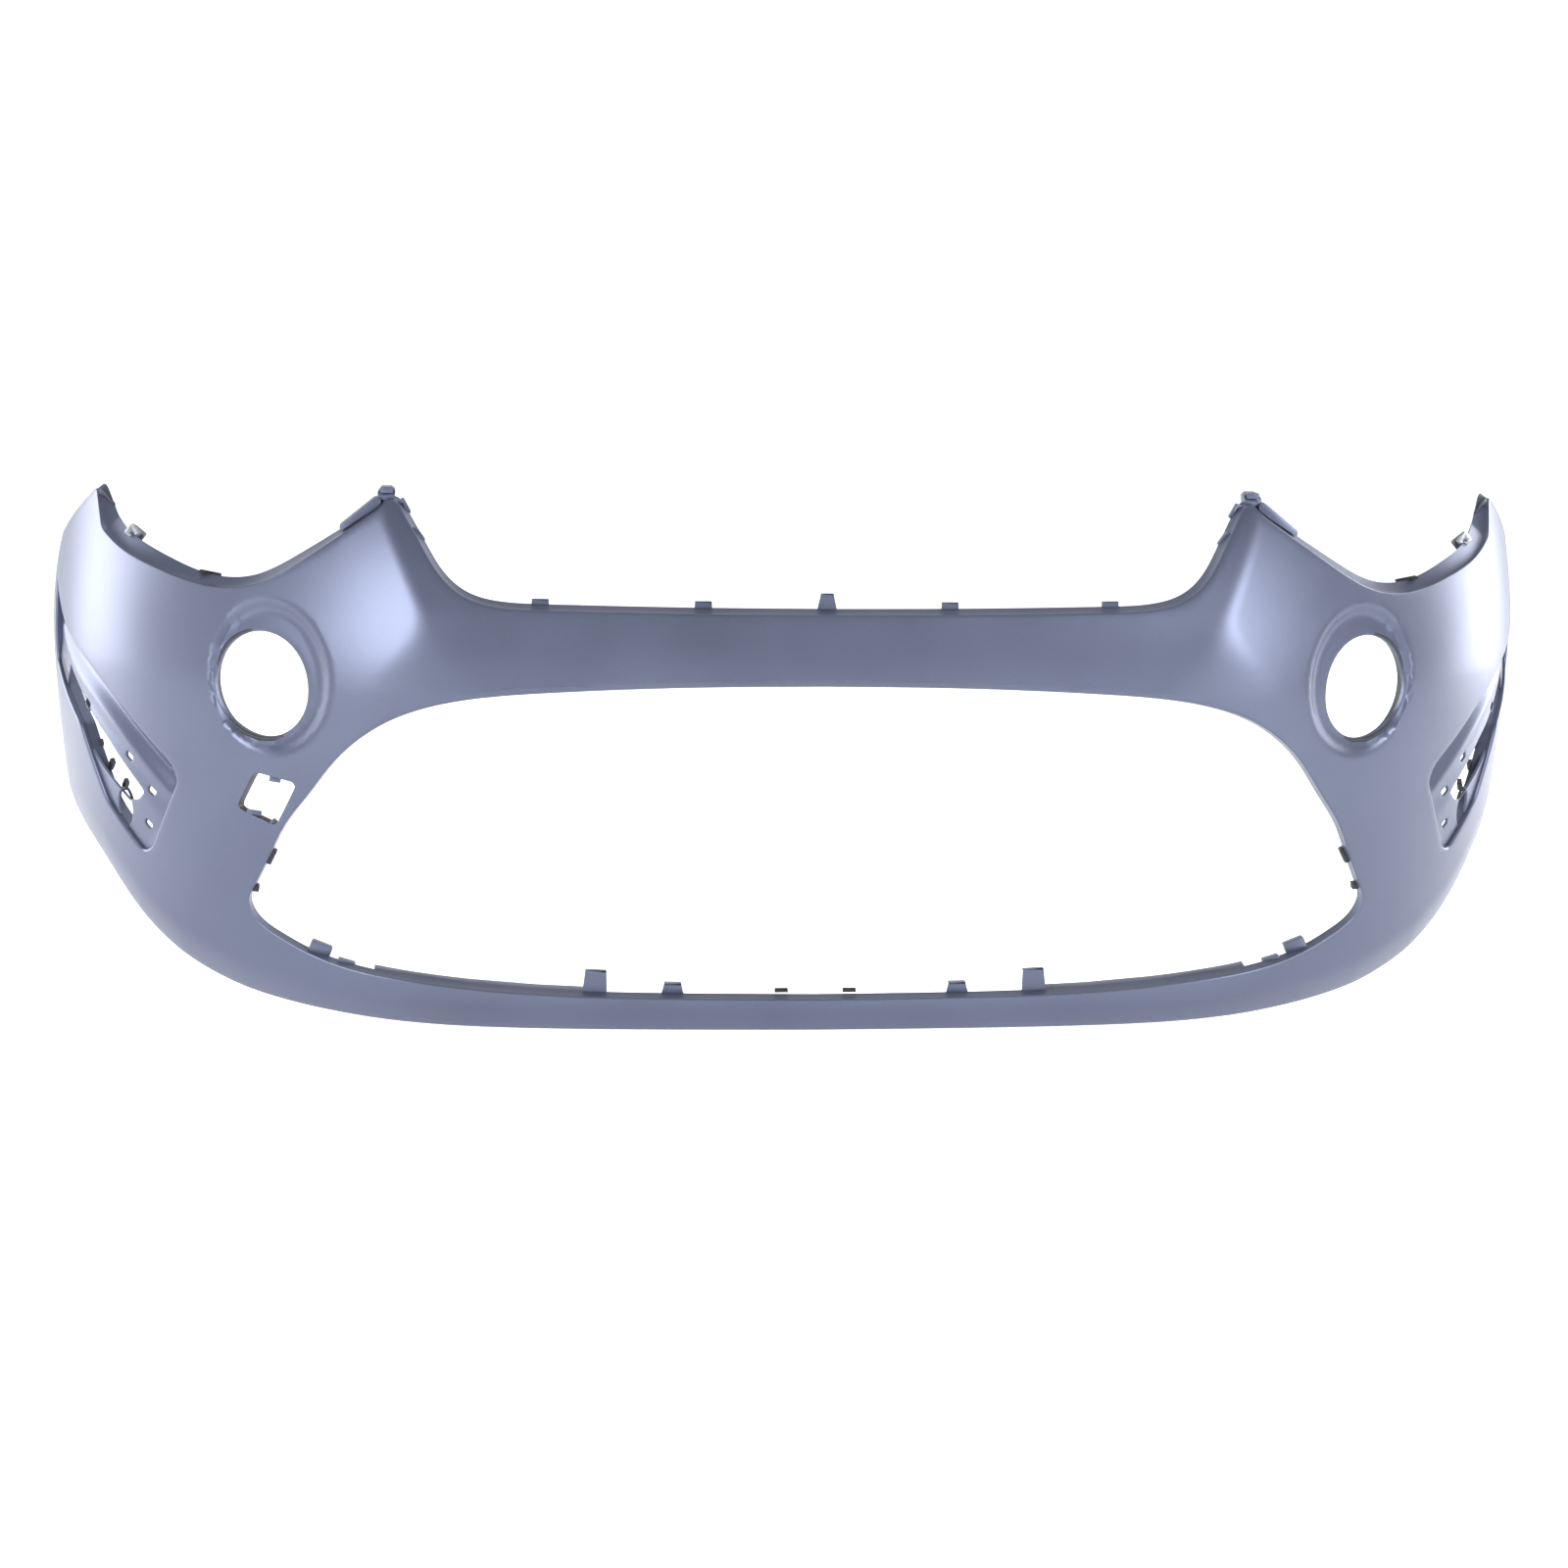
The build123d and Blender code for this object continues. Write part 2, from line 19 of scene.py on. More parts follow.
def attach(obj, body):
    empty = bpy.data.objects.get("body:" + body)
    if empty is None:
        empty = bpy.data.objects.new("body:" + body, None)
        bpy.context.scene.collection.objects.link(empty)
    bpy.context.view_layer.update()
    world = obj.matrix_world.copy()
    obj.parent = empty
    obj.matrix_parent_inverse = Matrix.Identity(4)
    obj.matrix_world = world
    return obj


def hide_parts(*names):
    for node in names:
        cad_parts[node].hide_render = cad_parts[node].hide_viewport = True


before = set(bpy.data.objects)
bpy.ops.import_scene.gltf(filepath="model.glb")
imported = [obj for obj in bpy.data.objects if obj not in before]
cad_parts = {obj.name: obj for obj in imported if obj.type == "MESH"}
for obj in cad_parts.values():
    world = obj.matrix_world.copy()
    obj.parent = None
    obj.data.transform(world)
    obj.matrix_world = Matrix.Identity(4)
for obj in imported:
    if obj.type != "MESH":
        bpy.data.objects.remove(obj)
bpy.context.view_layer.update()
MM = 0.001
print("CAD nodes:", len(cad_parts))

# %% [markdown]
# ## Camera
#
# The cover is seen from the front, from a little above and a little to one side, through a
# long lens. A long lens keeps the wrapped corners from looking too large. The camera could
# be aimed with a constraint, but a matrix made from its three directions is exact.

# %% Place the camera
YAW = math.radians(5.4)       # the camera stands this far round to -X
PITCH = math.radians(10.0)    # and looks down this much
ROLL = math.radians(-1.0)
DISTANCE = 5.0
TARGET = Vector((0.0, -0.0583, 0.336))

look = Vector((math.sin(YAW) * math.cos(PITCH), math.cos(YAW) * math.cos(PITCH), -math.sin(PITCH)))
level = Vector((math.cos(YAW), -math.sin(YAW), 0.0))
above = level.cross(look)
right = math.cos(ROLL) * level - math.sin(ROLL) * above
up = math.sin(ROLL) * level + math.cos(ROLL) * above

camera = bpy.data.objects.new("camera", bpy.data.cameras.new("camera"))
bpy.context.scene.collection.objects.link(camera)
camera.matrix_world = Matrix([
    [right.x, up.x, -look.x, TARGET.x - look.x * DISTANCE],
    [right.y, up.y, -look.y, TARGET.y - look.y * DISTANCE],
    [right.z, up.z, -look.z, TARGET.z - look.z * DISTANCE],
    [0, 0, 0, 1],
])
camera.data.lens = 92.25
camera.data.shift_x = -0.0175
camera.data.shift_y = -0.0219
camera.data.clip_end = 60
bpy.context.scene.camera = camera
bpy.context.scene.view_settings.view_transform = "Standard"
print("lens", camera.data.lens, "mm")

# %% [markdown]
# ## Materials
#
# Colours are picked as sRGB hex values, the way a paint chart gives them. Blender's sockets
# take linear numbers, so one function converts them. A second small function adds a node
# with its settings and links, which keeps each material short enough to read.

# %% Helpers for colours and nodes
def linear(hex_colour):
    """An sRGB hex colour as the linear RGBA that sockets take."""
    parts = [int(hex_colour[i:i + 2], 16) / 255 for i in (0, 2, 4)]
    return [p / 12.92 if p <= 0.04045 else ((p + 0.055) / 1.055) ** 2.4 for p in parts] + [1.0]


def add_node(tree, kind, values=None, links=None, **settings):
    """A node with its properties, socket values and incoming links."""
    node = tree.nodes.new(kind)
    for name, value in settings.items():
        setattr(node, name, value)
    for socket, value in (values or {}).items():
        node.inputs[socket].default_value = value
    for socket, source in (links or {}).items():
        tree.links.new(source, node.inputs[socket])
    return node


def new_material(name):
    """An empty material, its tree, its shader and the object's own coordinates."""
    material = bpy.data.materials.new(name)
    material.use_nodes = True
    tree = material.node_tree
    tree.nodes.clear()
    shader = add_node(tree, "ShaderNodeBsdfPrincipled")
    add_node(tree, "ShaderNodeOutputMaterial", links={"Surface": shader.outputs[0]})
    place = add_node(tree, "ShaderNodeTexCoord").outputs["Object"]
    return material, tree, shader, place


def per_metre(size_mm):
    """Noise scale whose features are about this many millimetres across."""
    return 1000.0 / size_mm


# %% [markdown]
# ### Satin primer
#
# The outside is sprayed with a blue-grey primer over the plastic. Primer is a satin coat: it
# spreads each light into a soft wide band instead of a sharp one. The spray leaves a slight
# orange peel a few millimetres across and a very fine dust, so the roughness wanders a
# little and the bump is only hundredths of a millimetre deep.

# %% Make the primer
def satin_primer():
    """Sprayed blue-grey primer on polypropylene: soft bands of light, slight orange peel."""
    material, tree, shader, place = new_material("satin_primer")
    cloud = add_node(tree, "ShaderNodeTexNoise", {"Scale": per_metre(160), "Detail": 2.0}, {"Vector": place})
    dust = add_node(tree, "ShaderNodeTexNoise", {"Scale": per_metre(1.6), "Detail": 1.0}, {"Vector": place})
    tone = add_node(tree, "ShaderNodeMix", {"Factor": 0.35}, {"A": cloud.outputs[0], "B": dust.outputs[0]})
    ramp = add_node(tree, "ShaderNodeValToRGB", links={"Fac": tone.outputs[0]})
    ramp.color_ramp.elements[0].position = 0.3
    ramp.color_ramp.elements[0].color = linear("4C5164")
    ramp.color_ramp.elements[1].position = 0.7
    ramp.color_ramp.elements[1].color = linear("545A6E")
    gloss = add_node(tree, "ShaderNodeMapRange", {"To Min": 0.34, "To Max": 0.42},
                     {"Value": cloud.outputs[0]})
    peel = add_node(tree, "ShaderNodeTexNoise", {"Scale": per_metre(2.4), "Detail": 2.0}, {"Vector": place})
    bump = add_node(tree, "ShaderNodeBump", {"Strength": 0.12, "Distance": 0.00006},
                    {"Height": peel.outputs[0]})
    shader.inputs["Metallic"].default_value = 0.6
    shader.inputs["IOR"].default_value = 1.52
    tree.links.new(ramp.outputs[0], shader.inputs["Base Color"])
    tree.links.new(gloss.outputs[0], shader.inputs["Roughness"])
    tree.links.new(bump.outputs[0], shader.inputs["Normal"])
    return material


primer = satin_primer()
print(primer.name)

# %% [markdown]
# ### Raw black plastic
#
# Where no spray reaches, the bare polypropylene shows: black, with the fine grain that the
# mould's spark-eroded wall leaves. The grain is about half a millimetre, drawn at one
# millimetre so that it still shows from five metres.

# %% Make the raw plastic
def raw_black_polypropylene():
    """Unpainted moulded polypropylene: black, dull, with a fine spark-eroded grain."""
    material, tree, shader, place = new_material("raw_black_polypropylene")
    grain = add_node(tree, "ShaderNodeTexVoronoi", {"Scale": per_metre(1.0)}, {"Vector": place})
    flow = add_node(tree, "ShaderNodeTexNoise", {"Scale": per_metre(70), "Detail": 3.0}, {"Vector": place})
    ramp = add_node(tree, "ShaderNodeValToRGB", links={"Fac": flow.outputs[0]})
    ramp.color_ramp.elements[0].position = 0.35
    ramp.color_ramp.elements[0].color = linear("1B1D22")
    ramp.color_ramp.elements[1].position = 0.7
    ramp.color_ramp.elements[1].color = linear("26292F")
    gloss = add_node(tree, "ShaderNodeMapRange", {"To Min": 0.45, "To Max": 0.6},
                     {"Value": flow.outputs[0]})
    bump = add_node(tree, "ShaderNodeBump", {"Strength": 0.35, "Distance": 0.00012},
                    {"Height": grain.outputs["Distance"]})
    shader.inputs["IOR"].default_value = 1.49
    tree.links.new(ramp.outputs[0], shader.inputs["Base Color"])
    tree.links.new(gloss.outputs[0], shader.inputs["Roughness"])
    tree.links.new(bump.outputs[0], shader.inputs["Normal"])
    return material


black = raw_black_polypropylene()
print(black.name)

# %% [markdown]
# ### Spring steel and foam
#
# The clips under the fender tips are phosphated spring steel: a grey metal whose crystals
# break the shine into small patches. The strips on the headlamp flange are closed-cell foam
# rubber: very dull, with cells of about a millimetre.

# %% Make the steel and the foam
def phosphated_spring_steel():
    """Folded spring steel with a zinc phosphate coat: dark grey metal, patchy shine."""
    material, tree, shader, place = new_material("phosphated_spring_steel")
    crystal = add_node(tree, "ShaderNodeTexVoronoi", {"Scale": per_metre(1.5)}, {"Vector": place})
    ramp = add_node(tree, "ShaderNodeValToRGB", links={"Fac": crystal.outputs["Color"]})
    ramp.color_ramp.elements[0].color = linear("74777D")
    ramp.color_ramp.elements[1].color = linear("8E9197")
    gloss = add_node(tree, "ShaderNodeMapRange", {"To Min": 0.32, "To Max": 0.5},
                     {"Value": crystal.outputs["Distance"]})
    shader.inputs["Metallic"].default_value = 1.0
    tree.links.new(ramp.outputs[0], shader.inputs["Base Color"])
    tree.links.new(gloss.outputs[0], shader.inputs["Roughness"])
    return material


def closed_cell_foam():
    """Self-adhesive closed-cell foam rubber: black, dull, with millimetre cells."""
    material, tree, shader, place = new_material("closed_cell_foam")
    cells = add_node(tree, "ShaderNodeTexVoronoi", {"Scale": per_metre(1.2)}, {"Vector": place})
    ramp = add_node(tree, "ShaderNodeValToRGB", links={"Fac": cells.outputs["Distance"]})
    ramp.color_ramp.elements[0].color = linear("101114")
    ramp.color_ramp.elements[1].color = linear("24262A")
    bump = add_node(tree, "ShaderNodeBump", {"Strength": 0.6, "Distance": 0.0003},
                    {"Height": cells.outputs["Distance"]})
    shader.inputs["Roughness"].default_value = 0.9
    shader.inputs["IOR"].default_value = 1.45
    tree.links.new(ramp.outputs[0], shader.inputs["Base Color"])
    tree.links.new(bump.outputs[0], shader.inputs["Normal"])
    return material


steel = phosphated_spring_steel()
foam = closed_cell_foam()
finish = {
    "satin_primer": primer,
    "raw_black_plastic": black,
    "spring_steel": steel,
    "foam_strip": foam,
}
print(sorted(finish))

# %% [markdown]
# ## The outer surface
#
# The skin follows a rule, so it can be written as a function of two numbers: the distance
# along the plan curve and the height. The plan curve is a superellipse, boxier than an
# ellipse. Two bulging corners and a flatter crossbar are blended where they meet, and that
# blend is the crease that runs down from each horn. A drawn subdivision cage could also do
# this. The formula is the CAD model's, with a crisper crease and a slightly deeper lamp
# recess, so elsewhere the small pieces meet it as they do there.

# %% The rule of the surface, in millimetres
HALF_WIDTH = 952.0
PLAN_DEPTH = 680.0
PLAN_POWER = 2.4
FRONT_Y = -258.3
LIFT = 11.0
BELT = 425.0
TURN = np.linspace(0, math.pi / 2 * 0.985, 4001)
PLAN_X = HALF_WIDTH * np.sin(TURN) ** (2 / PLAN_POWER)
PLAN_Y = PLAN_DEPTH * (1 - np.cos(TURN) ** (2 / PLAN_POWER))
PLAN_U = np.concatenate([[0], np.cumsum(np.hypot(np.diff(PLAN_X), np.diff(PLAN_Y)))])
BOTTOM_EDGE = [
    (0, -11), (300, -8), (450, -3), (630, 10), (725, 24),
    (835, 58), (912, 99), (1010, 163), (1100, 200),
]
FOG_U, FOG_Z = 690.0, 422.0
LEAN_ABOVE, LEAN_BELOW = 80, 95     # how far the lobes lean back above and below the belt
LOBE_FORWARD, BAR_FORWARD, BAR_TILT, BAR_LEVEL = 60, 13.5, 0.15, 443
LIP_BACK = 92
BAR_BLEND, CREASE_BLEND, FADED_BLEND = 14, 3, 27
CREASE_FADES = (385, 530)
TUCK, TUCK_FROM, TUCK_OVER = 30, 42, 84
SIDE_BULGE, BULGE_LEVEL, BULGE_SPREAD = 11, 435, 150
DISH_DEPTH, DISH_SHIFT, DISH_WIDTH, DISH_HEIGHT = 14, 10, 88, 98
DISH_WALL = (0.8, 0.98)


def ease(low, high, value):
    """0 below low, 1 above high, smooth between."""
    part = np.clip((value - low) / (high - low), 0, 1)
    return part * part * (3 - 2 * part)


def soft_max(a, b, blend):
    part = np.clip(0.5 + 0.5 * (a - b) / blend, 0, 1)
    return b * (1 - part) + a * part + blend * part * (1 - part)


def surface(places):
    """Points of the outer surface at rows of (distance along the plan curve, height)."""
    u, z = places[:, 0], places[:, 1]
    x = np.sign(u) * np.interp(abs(u), PLAN_U, PLAN_X)
    x = x * (1 + SIDE_BULGE / HALF_WIDTH * np.exp(-((z - BULGE_LEVEL) / BULGE_SPREAD) ** 2))
    plan = np.interp(abs(u), PLAN_U, PLAN_Y)
    rise, fall = np.maximum(0, z - BELT), np.maximum(0, BELT - z)
    lean = LEAN_ABOVE * (rise / 240) ** 2 + LEAN_BELOW * (fall / 450) ** 1.3
    bar = BAR_TILT * (z - BAR_LEVEL) - BAR_FORWARD + lean
    lip = LIP_BACK * (fall / 450) ** 1.2
    blend = CREASE_BLEND + FADED_BLEND * (1 - ease(*CREASE_FADES, z))
    y = soft_max(plan - LOBE_FORWARD + lean, soft_max(bar, lip, BAR_BLEND), blend)
    floor = np.interp(abs(u), *np.array(BOTTOM_EDGE).T)
    y = y + TUCK * ease(0, TUCK_OVER, floor + TUCK_FROM - z)
    dish = np.hypot((abs(u) - FOG_U + DISH_SHIFT) / DISH_WIDTH, (z - FOG_Z - DISH_SHIFT) / DISH_HEIGHT)
    y = y + DISH_DEPTH * (1 - ease(*DISH_WALL, dish))
    return np.stack([x, FRONT_Y + y, z + LIFT], axis=1)


def outward(places):
    """Unit normals of the surface at the same rows."""
    along = surface(places + [2, 0]) - surface(places - [2, 0])
    rising = surface(places + [0, 2]) - surface(places - [0, 2])
    normal = np.cross(along, rising)
    return normal / np.linalg.norm(normal, axis=1, keepdims=True)


print("plan curve is", round(float(PLAN_U[-1])), "mm long on each side")

# %% [markdown]
# ## Outlines
#
# The cover's edges and holes are outlines on that surface. Each is a few points with a
# smooth curve through them, sampled evenly. Beside its two coordinates, each point carries
# how far the return flange behind it rises and runs back, so those change smoothly too.

# %% Helpers for outlines
def smooth_line(points, step=5.0):
    """Even samples of the natural cubic spline through the points."""
    knots = np.array(points, float)
    chord = np.concatenate([[0], np.cumsum(np.linalg.norm(np.diff(knots[:, :2], axis=0), axis=1))])
    gap, count = np.diff(chord), len(knots)
    matrix, wanted = np.eye(count), np.zeros_like(knots)
    for i in range(1, count - 1):
        matrix[i, i - 1:i + 2] = gap[i - 1], 2 * (gap[i - 1] + gap[i]), gap[i]
        wanted[i] = 6 * ((knots[i + 1] - knots[i]) / gap[i] - (knots[i] - knots[i - 1]) / gap[i - 1])
    bend = np.linalg.solve(matrix, wanted)
    run = np.linspace(0, chord[-1], max(3, round(chord[-1] / step) + 1))
    i = np.clip(np.searchsorted(chord, run, side="right") - 1, 0, count - 2)
    a, b, h = (chord[i + 1] - run)[:, None], (run - chord[i])[:, None], gap[i][:, None]
    return (bend[i] * a ** 3 / (6 * h) + bend[i + 1] * b ** 3 / (6 * h)
            + (knots[i] / h - bend[i] * h / 6) * a + (knots[i + 1] / h - bend[i + 1] * h / 6) * b)


def closed_line(points, step, passes=0):
    """The closed outline resampled evenly, its corners rounded by averaging passes."""
    ring = np.vstack([points, points[:1]])
    chord = np.concatenate([[0], np.cumsum(np.linalg.norm(np.diff(ring[:, :2], axis=0), axis=1))])
    run = np.linspace(0, chord[-1], max(8, round(chord[-1] / step)), endpoint=False)
    even = np.stack([np.interp(run, chord, ring[:, k]) for k in range(ring.shape[1])], axis=1)
    for _ in range(passes):
        even = 0.25 * np.roll(even, 1, axis=0) + 0.5 * even + 0.25 * np.roll(even, -1, axis=0)
    return even


def turning_left(loop):
    """Twice the area that the loop encloses, positive if it runs anticlockwise."""
    x, y = loop[:, 0], loop[:, 1]
    return float(np.sum(x * np.roll(y, -1) - np.roll(x, -1) * y))


def inset(loop, distance):
    """The loop moved sideways, into the sheet it bounds, by the distance."""
    run = np.roll(loop[:, :2], -1, axis=0) - np.roll(loop[:, :2], 1, axis=0)
    run /= np.linalg.norm(run, axis=1, keepdims=True)
    moved = loop.copy()
    moved[:, 0] -= run[:, 1] * distance
    moved[:, 1] += run[:, 0] * distance
    return moved


def inside(loop, places):
    """Which places lie inside the loop, by counting crossings."""
    x, y = places[:, 0][:, None], places[:, 1][:, None]
    ax, ay = loop[:, 0], loop[:, 1]
    bx, by = np.roll(ax, -1), np.roll(ay, -1)
    crossing = (ay > y) != (by > y)
    slope = np.where(by == ay, 1e-9, by - ay)
    return (crossing & (x < ax + (y - ay) * (bx - ax) / slope)).sum(axis=1) % 2 == 1


def nearest(loop, places):
    """Distance from each place to the loop's nearest point."""
    rows = [np.hypot(part[:, 0][:, None] - loop[:, 0], part[:, 1][:, None] - loop[:, 1]).min(axis=1)
            for part in np.array_split(places, 40)]
    return np.concatenate(rows)


print("outline helpers ready")

# %% [markdown]
# A hole such as the lamp seat is round when it is looked at along the lamp's axis, not on
# the curved surface. Its outline is drawn on a flat plane and then found on the surface by
# Newton's method: guess, see how far off each point is, correct, repeat.

# %% Find a flat outline on the surface
def side_axes(azimuth):
    """Across, up and facing directions of an upright plane turned to one side."""
    turn = math.radians(azimuth)
    return (np.array([math.cos(turn), math.sin(turn), 0.0]), np.array([0.0, 0.0, 1.0]),
            np.array([math.sin(turn), -math.cos(turn), 0.0]))


def seen_on(axes, places):
    """Where the surface's places fall on a plane with these axes."""
    points = surface(places)
    return np.stack([points @ axes[0], points @ axes[1]], axis=1)


def found_on(axes, targets, guess):
    """Places on the surface that the plane sees at the targets."""
    places = np.array(guess, float)
    for _ in range(30):
        here = seen_on(axes, places)
        along = (seen_on(axes, places + [0.5, 0]) - here) / 0.5
        rising = (seen_on(axes, places + [0, 0.5]) - here) / 0.5
        off = targets - here
        area = along[:, 0] * rising[:, 1] - along[:, 1] * rising[:, 0]
        du = (off[:, 0] * rising[:, 1] - off[:, 1] * rising[:, 0]) / area
        dz = (along[:, 0] * off[:, 1] - along[:, 1] * off[:, 0]) / area
        places += np.clip(np.stack([du, dz], axis=1), -40, 40)
    return places


def polygon_on(axes, corners, step, passes):
    """A rounded polygon, straight as the plane sees it, as places on the surface."""
    corners = np.array(corners, float)
    both = np.hstack([seen_on(axes, corners), corners])
    ring = closed_line(both, step, passes)
    return found_on(axes, ring[:, :2], ring[:, 2:])


print("axes of the lamp seat:", [list(np.round(a, 2)) for a in side_axes(27)])

# %% [markdown]
# ## A moulded sheet
#
# Skin and vent floor are both thin mouldings with holes, rolled edges and return flanges.
# One function makes both. It fills the outline with a staggered grid of points and lets
# Blender's Delaunay function join them, so triangles stay even up to each edge. Rows of
# quads then follow the edge round a small radius and back along the flange. The Solidify
# modifier gives the wall its thickness last, and its second material is the bare inside.

# %% Build a sheet from outlines
def edge_rows(points, normals, loop, sheet_edge):
    """Rows of points that roll round the edge and run back along its flange."""
    run = np.roll(points, -1, axis=0) - np.roll(points, 1, axis=0)
    run /= np.linalg.norm(run, axis=1, keepdims=True)
    away = np.cross(run, normals)
    back = sheet_edge["back"](normals)
    rise, depth = loop[:, 2][:, None], loop[:, 3][:, None]
    radius = sheet_edge["radius"]
    rows = []
    for angle in np.radians([25, 50, 72, 90]):
        rows.append(points + away * radius * math.sin(angle) + back * radius * (1 - math.cos(angle)))
    for share in np.linspace(0, 1, sheet_edge["steps"] + 1)[1:]:
        lift = rise * share ** sheet_edge["bow"]
        rows.append(points + away * (radius + lift) + back * (radius + (depth - radius) * share))
    return rows


def moulded_sheet(name, edges, spacing, place, wall, finishes, bare=None):
    """A solid sheet; the first edge is its outline and the others are holes."""
    loops = []
    for i, edge in enumerate(edges):
        loop = edge["loop"]
        if (turning_left(loop) > 0) != (i == 0):
            loop = loop[::-1]
        loops.append(inset(loop, edge.get("inset", edge["radius"])))
    low, high = loops[0][:, :2].min(axis=0), loops[0][:, :2].max(axis=0)
    rows = np.arange(low[1], high[1], spacing * 0.866)
    grid = [(x + (i % 2) * spacing / 2, z) for i, z in enumerate(rows)
            for x in np.arange(low[0], high[0], spacing)]
    grid = np.array(grid)
    keep = inside(loops[0], grid)
    for loop in loops[1:]:
        keep &= ~inside(loop, grid)
    grid = grid[keep]
    for loop in loops:
        grid = grid[nearest(loop, grid) > spacing * 0.6]
    flat, constraints, start = [], [], 0
    for loop in loops:
        count = len(loop)
        flat += [Vector(p[:2]) for p in loop]
        constraints += [(start + i, start + (i + 1) % count) for i in range(count)]
        start += count
    flat += [Vector(p) for p in grid]
    corners, _, faces, _, _, _ = delaunay_2d_cdt(flat, constraints, [], 0, 1e-4)
    corners = np.array([tuple(c) for c in corners])
    middles = corners[np.array([f[:3] for f in faces])].mean(axis=1)
    keep = inside(loops[0], middles)
    for loop in loops[1:]:
        keep &= ~inside(loop, middles)
    faces = [tuple(f) for f, good in zip(faces, keep) if good]
    points = [place(corners)]
    middles = corners[np.array([f[:3] for f in faces])].mean(axis=1)
    slots = [0] * len(faces) if bare is None else bare(middles).astype(int).tolist()
    total, start = len(corners), 0
    for loop, edge in zip(loops, edges):
        count = len(loop)
        base = place(loop[:, :2])
        before = [start + i for i in range(count)]
        for j, row in enumerate(edge_rows(base, outward(loop[:, :2]), loop, edge)):
            now = [total + i for i in range(count)]
            for i in range(count):
                k = (i + 1) % count
                faces.append((before[i], now[i], now[k], before[k]))
                # Flange rows past the edge's limit take the black finish as painted shade; only the tow eye
                # reaches its limit.
                slots.append(1 if j >= edge["painted_shade_from"] else 0)
            points.append(row)
            total += count
            before = now
        start += count
    return sheet_object(name, np.vstack(points), faces, slots, wall, finishes)


def sheet_object(name, points, faces, slots, wall, finishes):
    """The faces as an object whose wall Solidify has thickened inwards."""
    mesh = bpy.data.meshes.new(name)
    mesh.from_pydata((points * MM).tolist(), [], faces)
    for finish_here in finishes:
        mesh.materials.append(finish_here)
    mesh.polygons.foreach_set("material_index", slots)
    shell = bpy.data.objects.new(name + "_shell", mesh)
    bpy.context.scene.collection.objects.link(shell)
    thick = shell.modifiers.new("wall", "SOLIDIFY")
    thick.thickness = wall * MM
    thick.offset = -1
    thick.material_offset = 1
    thick.material_offset_rim = 1
    return finished(name, shell)


def finished(name, maker):
    """The maker's evaluated mesh as a plain object, smooth except at real corners."""
    depsgraph = bpy.context.evaluated_depsgraph_get()
    mesh = bpy.data.meshes.new_from_object(maker.evaluated_get(depsgraph), depsgraph=depsgraph)
    mesh.name = name
    bpy.data.objects.remove(maker)
    made = bpy.data.objects.new(name, mesh)
    bpy.context.scene.collection.objects.link(made)
    mesh.shade_smooth()
    mesh.set_sharp_from_angle(angle=math.radians(38))
    print(name, len(mesh.polygons), "faces")
    return made


def stands_for(made, slot, *nodes):
    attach(made, "root")
    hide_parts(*nodes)
    return made


# %% [markdown]
# ## The skin
#
# The right half of the outline is written down and mirrored. The last two numbers of each
# point are the flange's rise and depth: the headlamp flange grows from 9 to 24 mm towards
# the fender, as the CAD model's does.

# %% Outline the skin
OUTLINE_TOP = [
    (0, 521, 5, 20), (170, 522, 5, 20), (336, 525, 5, 20), (396, 529, 5, 20), (421, 535, 5, 20),
    (443, 546, 5, 20), (464, 565, 5, 20), (485, 595, 5, 20), (505, 626, 5, 19), (519, 648, 4, 17),
]
OUTLINE_LAMP = [
    (541, 636, 4, 18), (640, 573, 7, 21), (700, 543, 9, 22), (757, 535, 11, 22),
    (852, 547, 16, 22), (935, 565, 20, 22), (985, 583, 21, 20),
]
OUTLINE_REAR = [
    (1148, 561, 0, 9), (1201, 490, 0, 12), (1218, 400, 0, 12), (1201, 290, 0, 12), (1148, 222, 0, 12),
]
FENDER_TIP = (1008, 630, 8, 12)

bottom = [(u, z, 0, 11) for u, z in BOTTOM_EDGE]
half = np.vstack([
    smooth_line(OUTLINE_TOP), [(531, 648, 4, 16)], smooth_line(OUTLINE_LAMP), [FENDER_TIP],
    smooth_line(OUTLINE_REAR), smooth_line(bottom[::-1]),
])
left_half = half[::-1][1:-1] * [-1, 1, 1, 1]
skin_outline = closed_line(np.vstack([half, left_half]), 5.0, passes=2)
print("skin outline has", len(skin_outline), "points")

# %% Outline its holes
GRILLE = [
    (0, 436), (170, 434), (337, 427), (466, 411), (526, 389), (562, 366), (595, 336), (632, 291),
    (666, 249), (694, 198), (714, 163), (720, 148), (715, 132), (702, 118), (675, 103), (632, 85),
    (580, 71), (514, 61), (436, 52), (333, 43), (169, 37), (0, 35),
]
VENT = [
    (1175, 500), (1098, 449), (1002, 411), (926, 369), (838, 309), (829, 288),
    (884, 194), (903, 186), (985, 240), (1056, 330), (1175, 396),
]
CREASE = [(1190, 508), (1098, 449), (1002, 411), (926, 369), (838, 309)]
TOW_EYE = [(-705, 314), (-646, 305), (-678, 248), (-734, 266)]
VENT_AZIMUTH = 66.0
FOG_YAW = 27.0
FOG_RADIUS = 64.0


def with_flange(loop, rise, depth):
    return np.hstack([loop, np.full((len(loop), 1), rise), np.full((len(loop), 1), depth)])


def other_side(loop):
    """The same outline on the left of the cover."""
    return loop[::-1] * [-1, 1] + [0, 0]


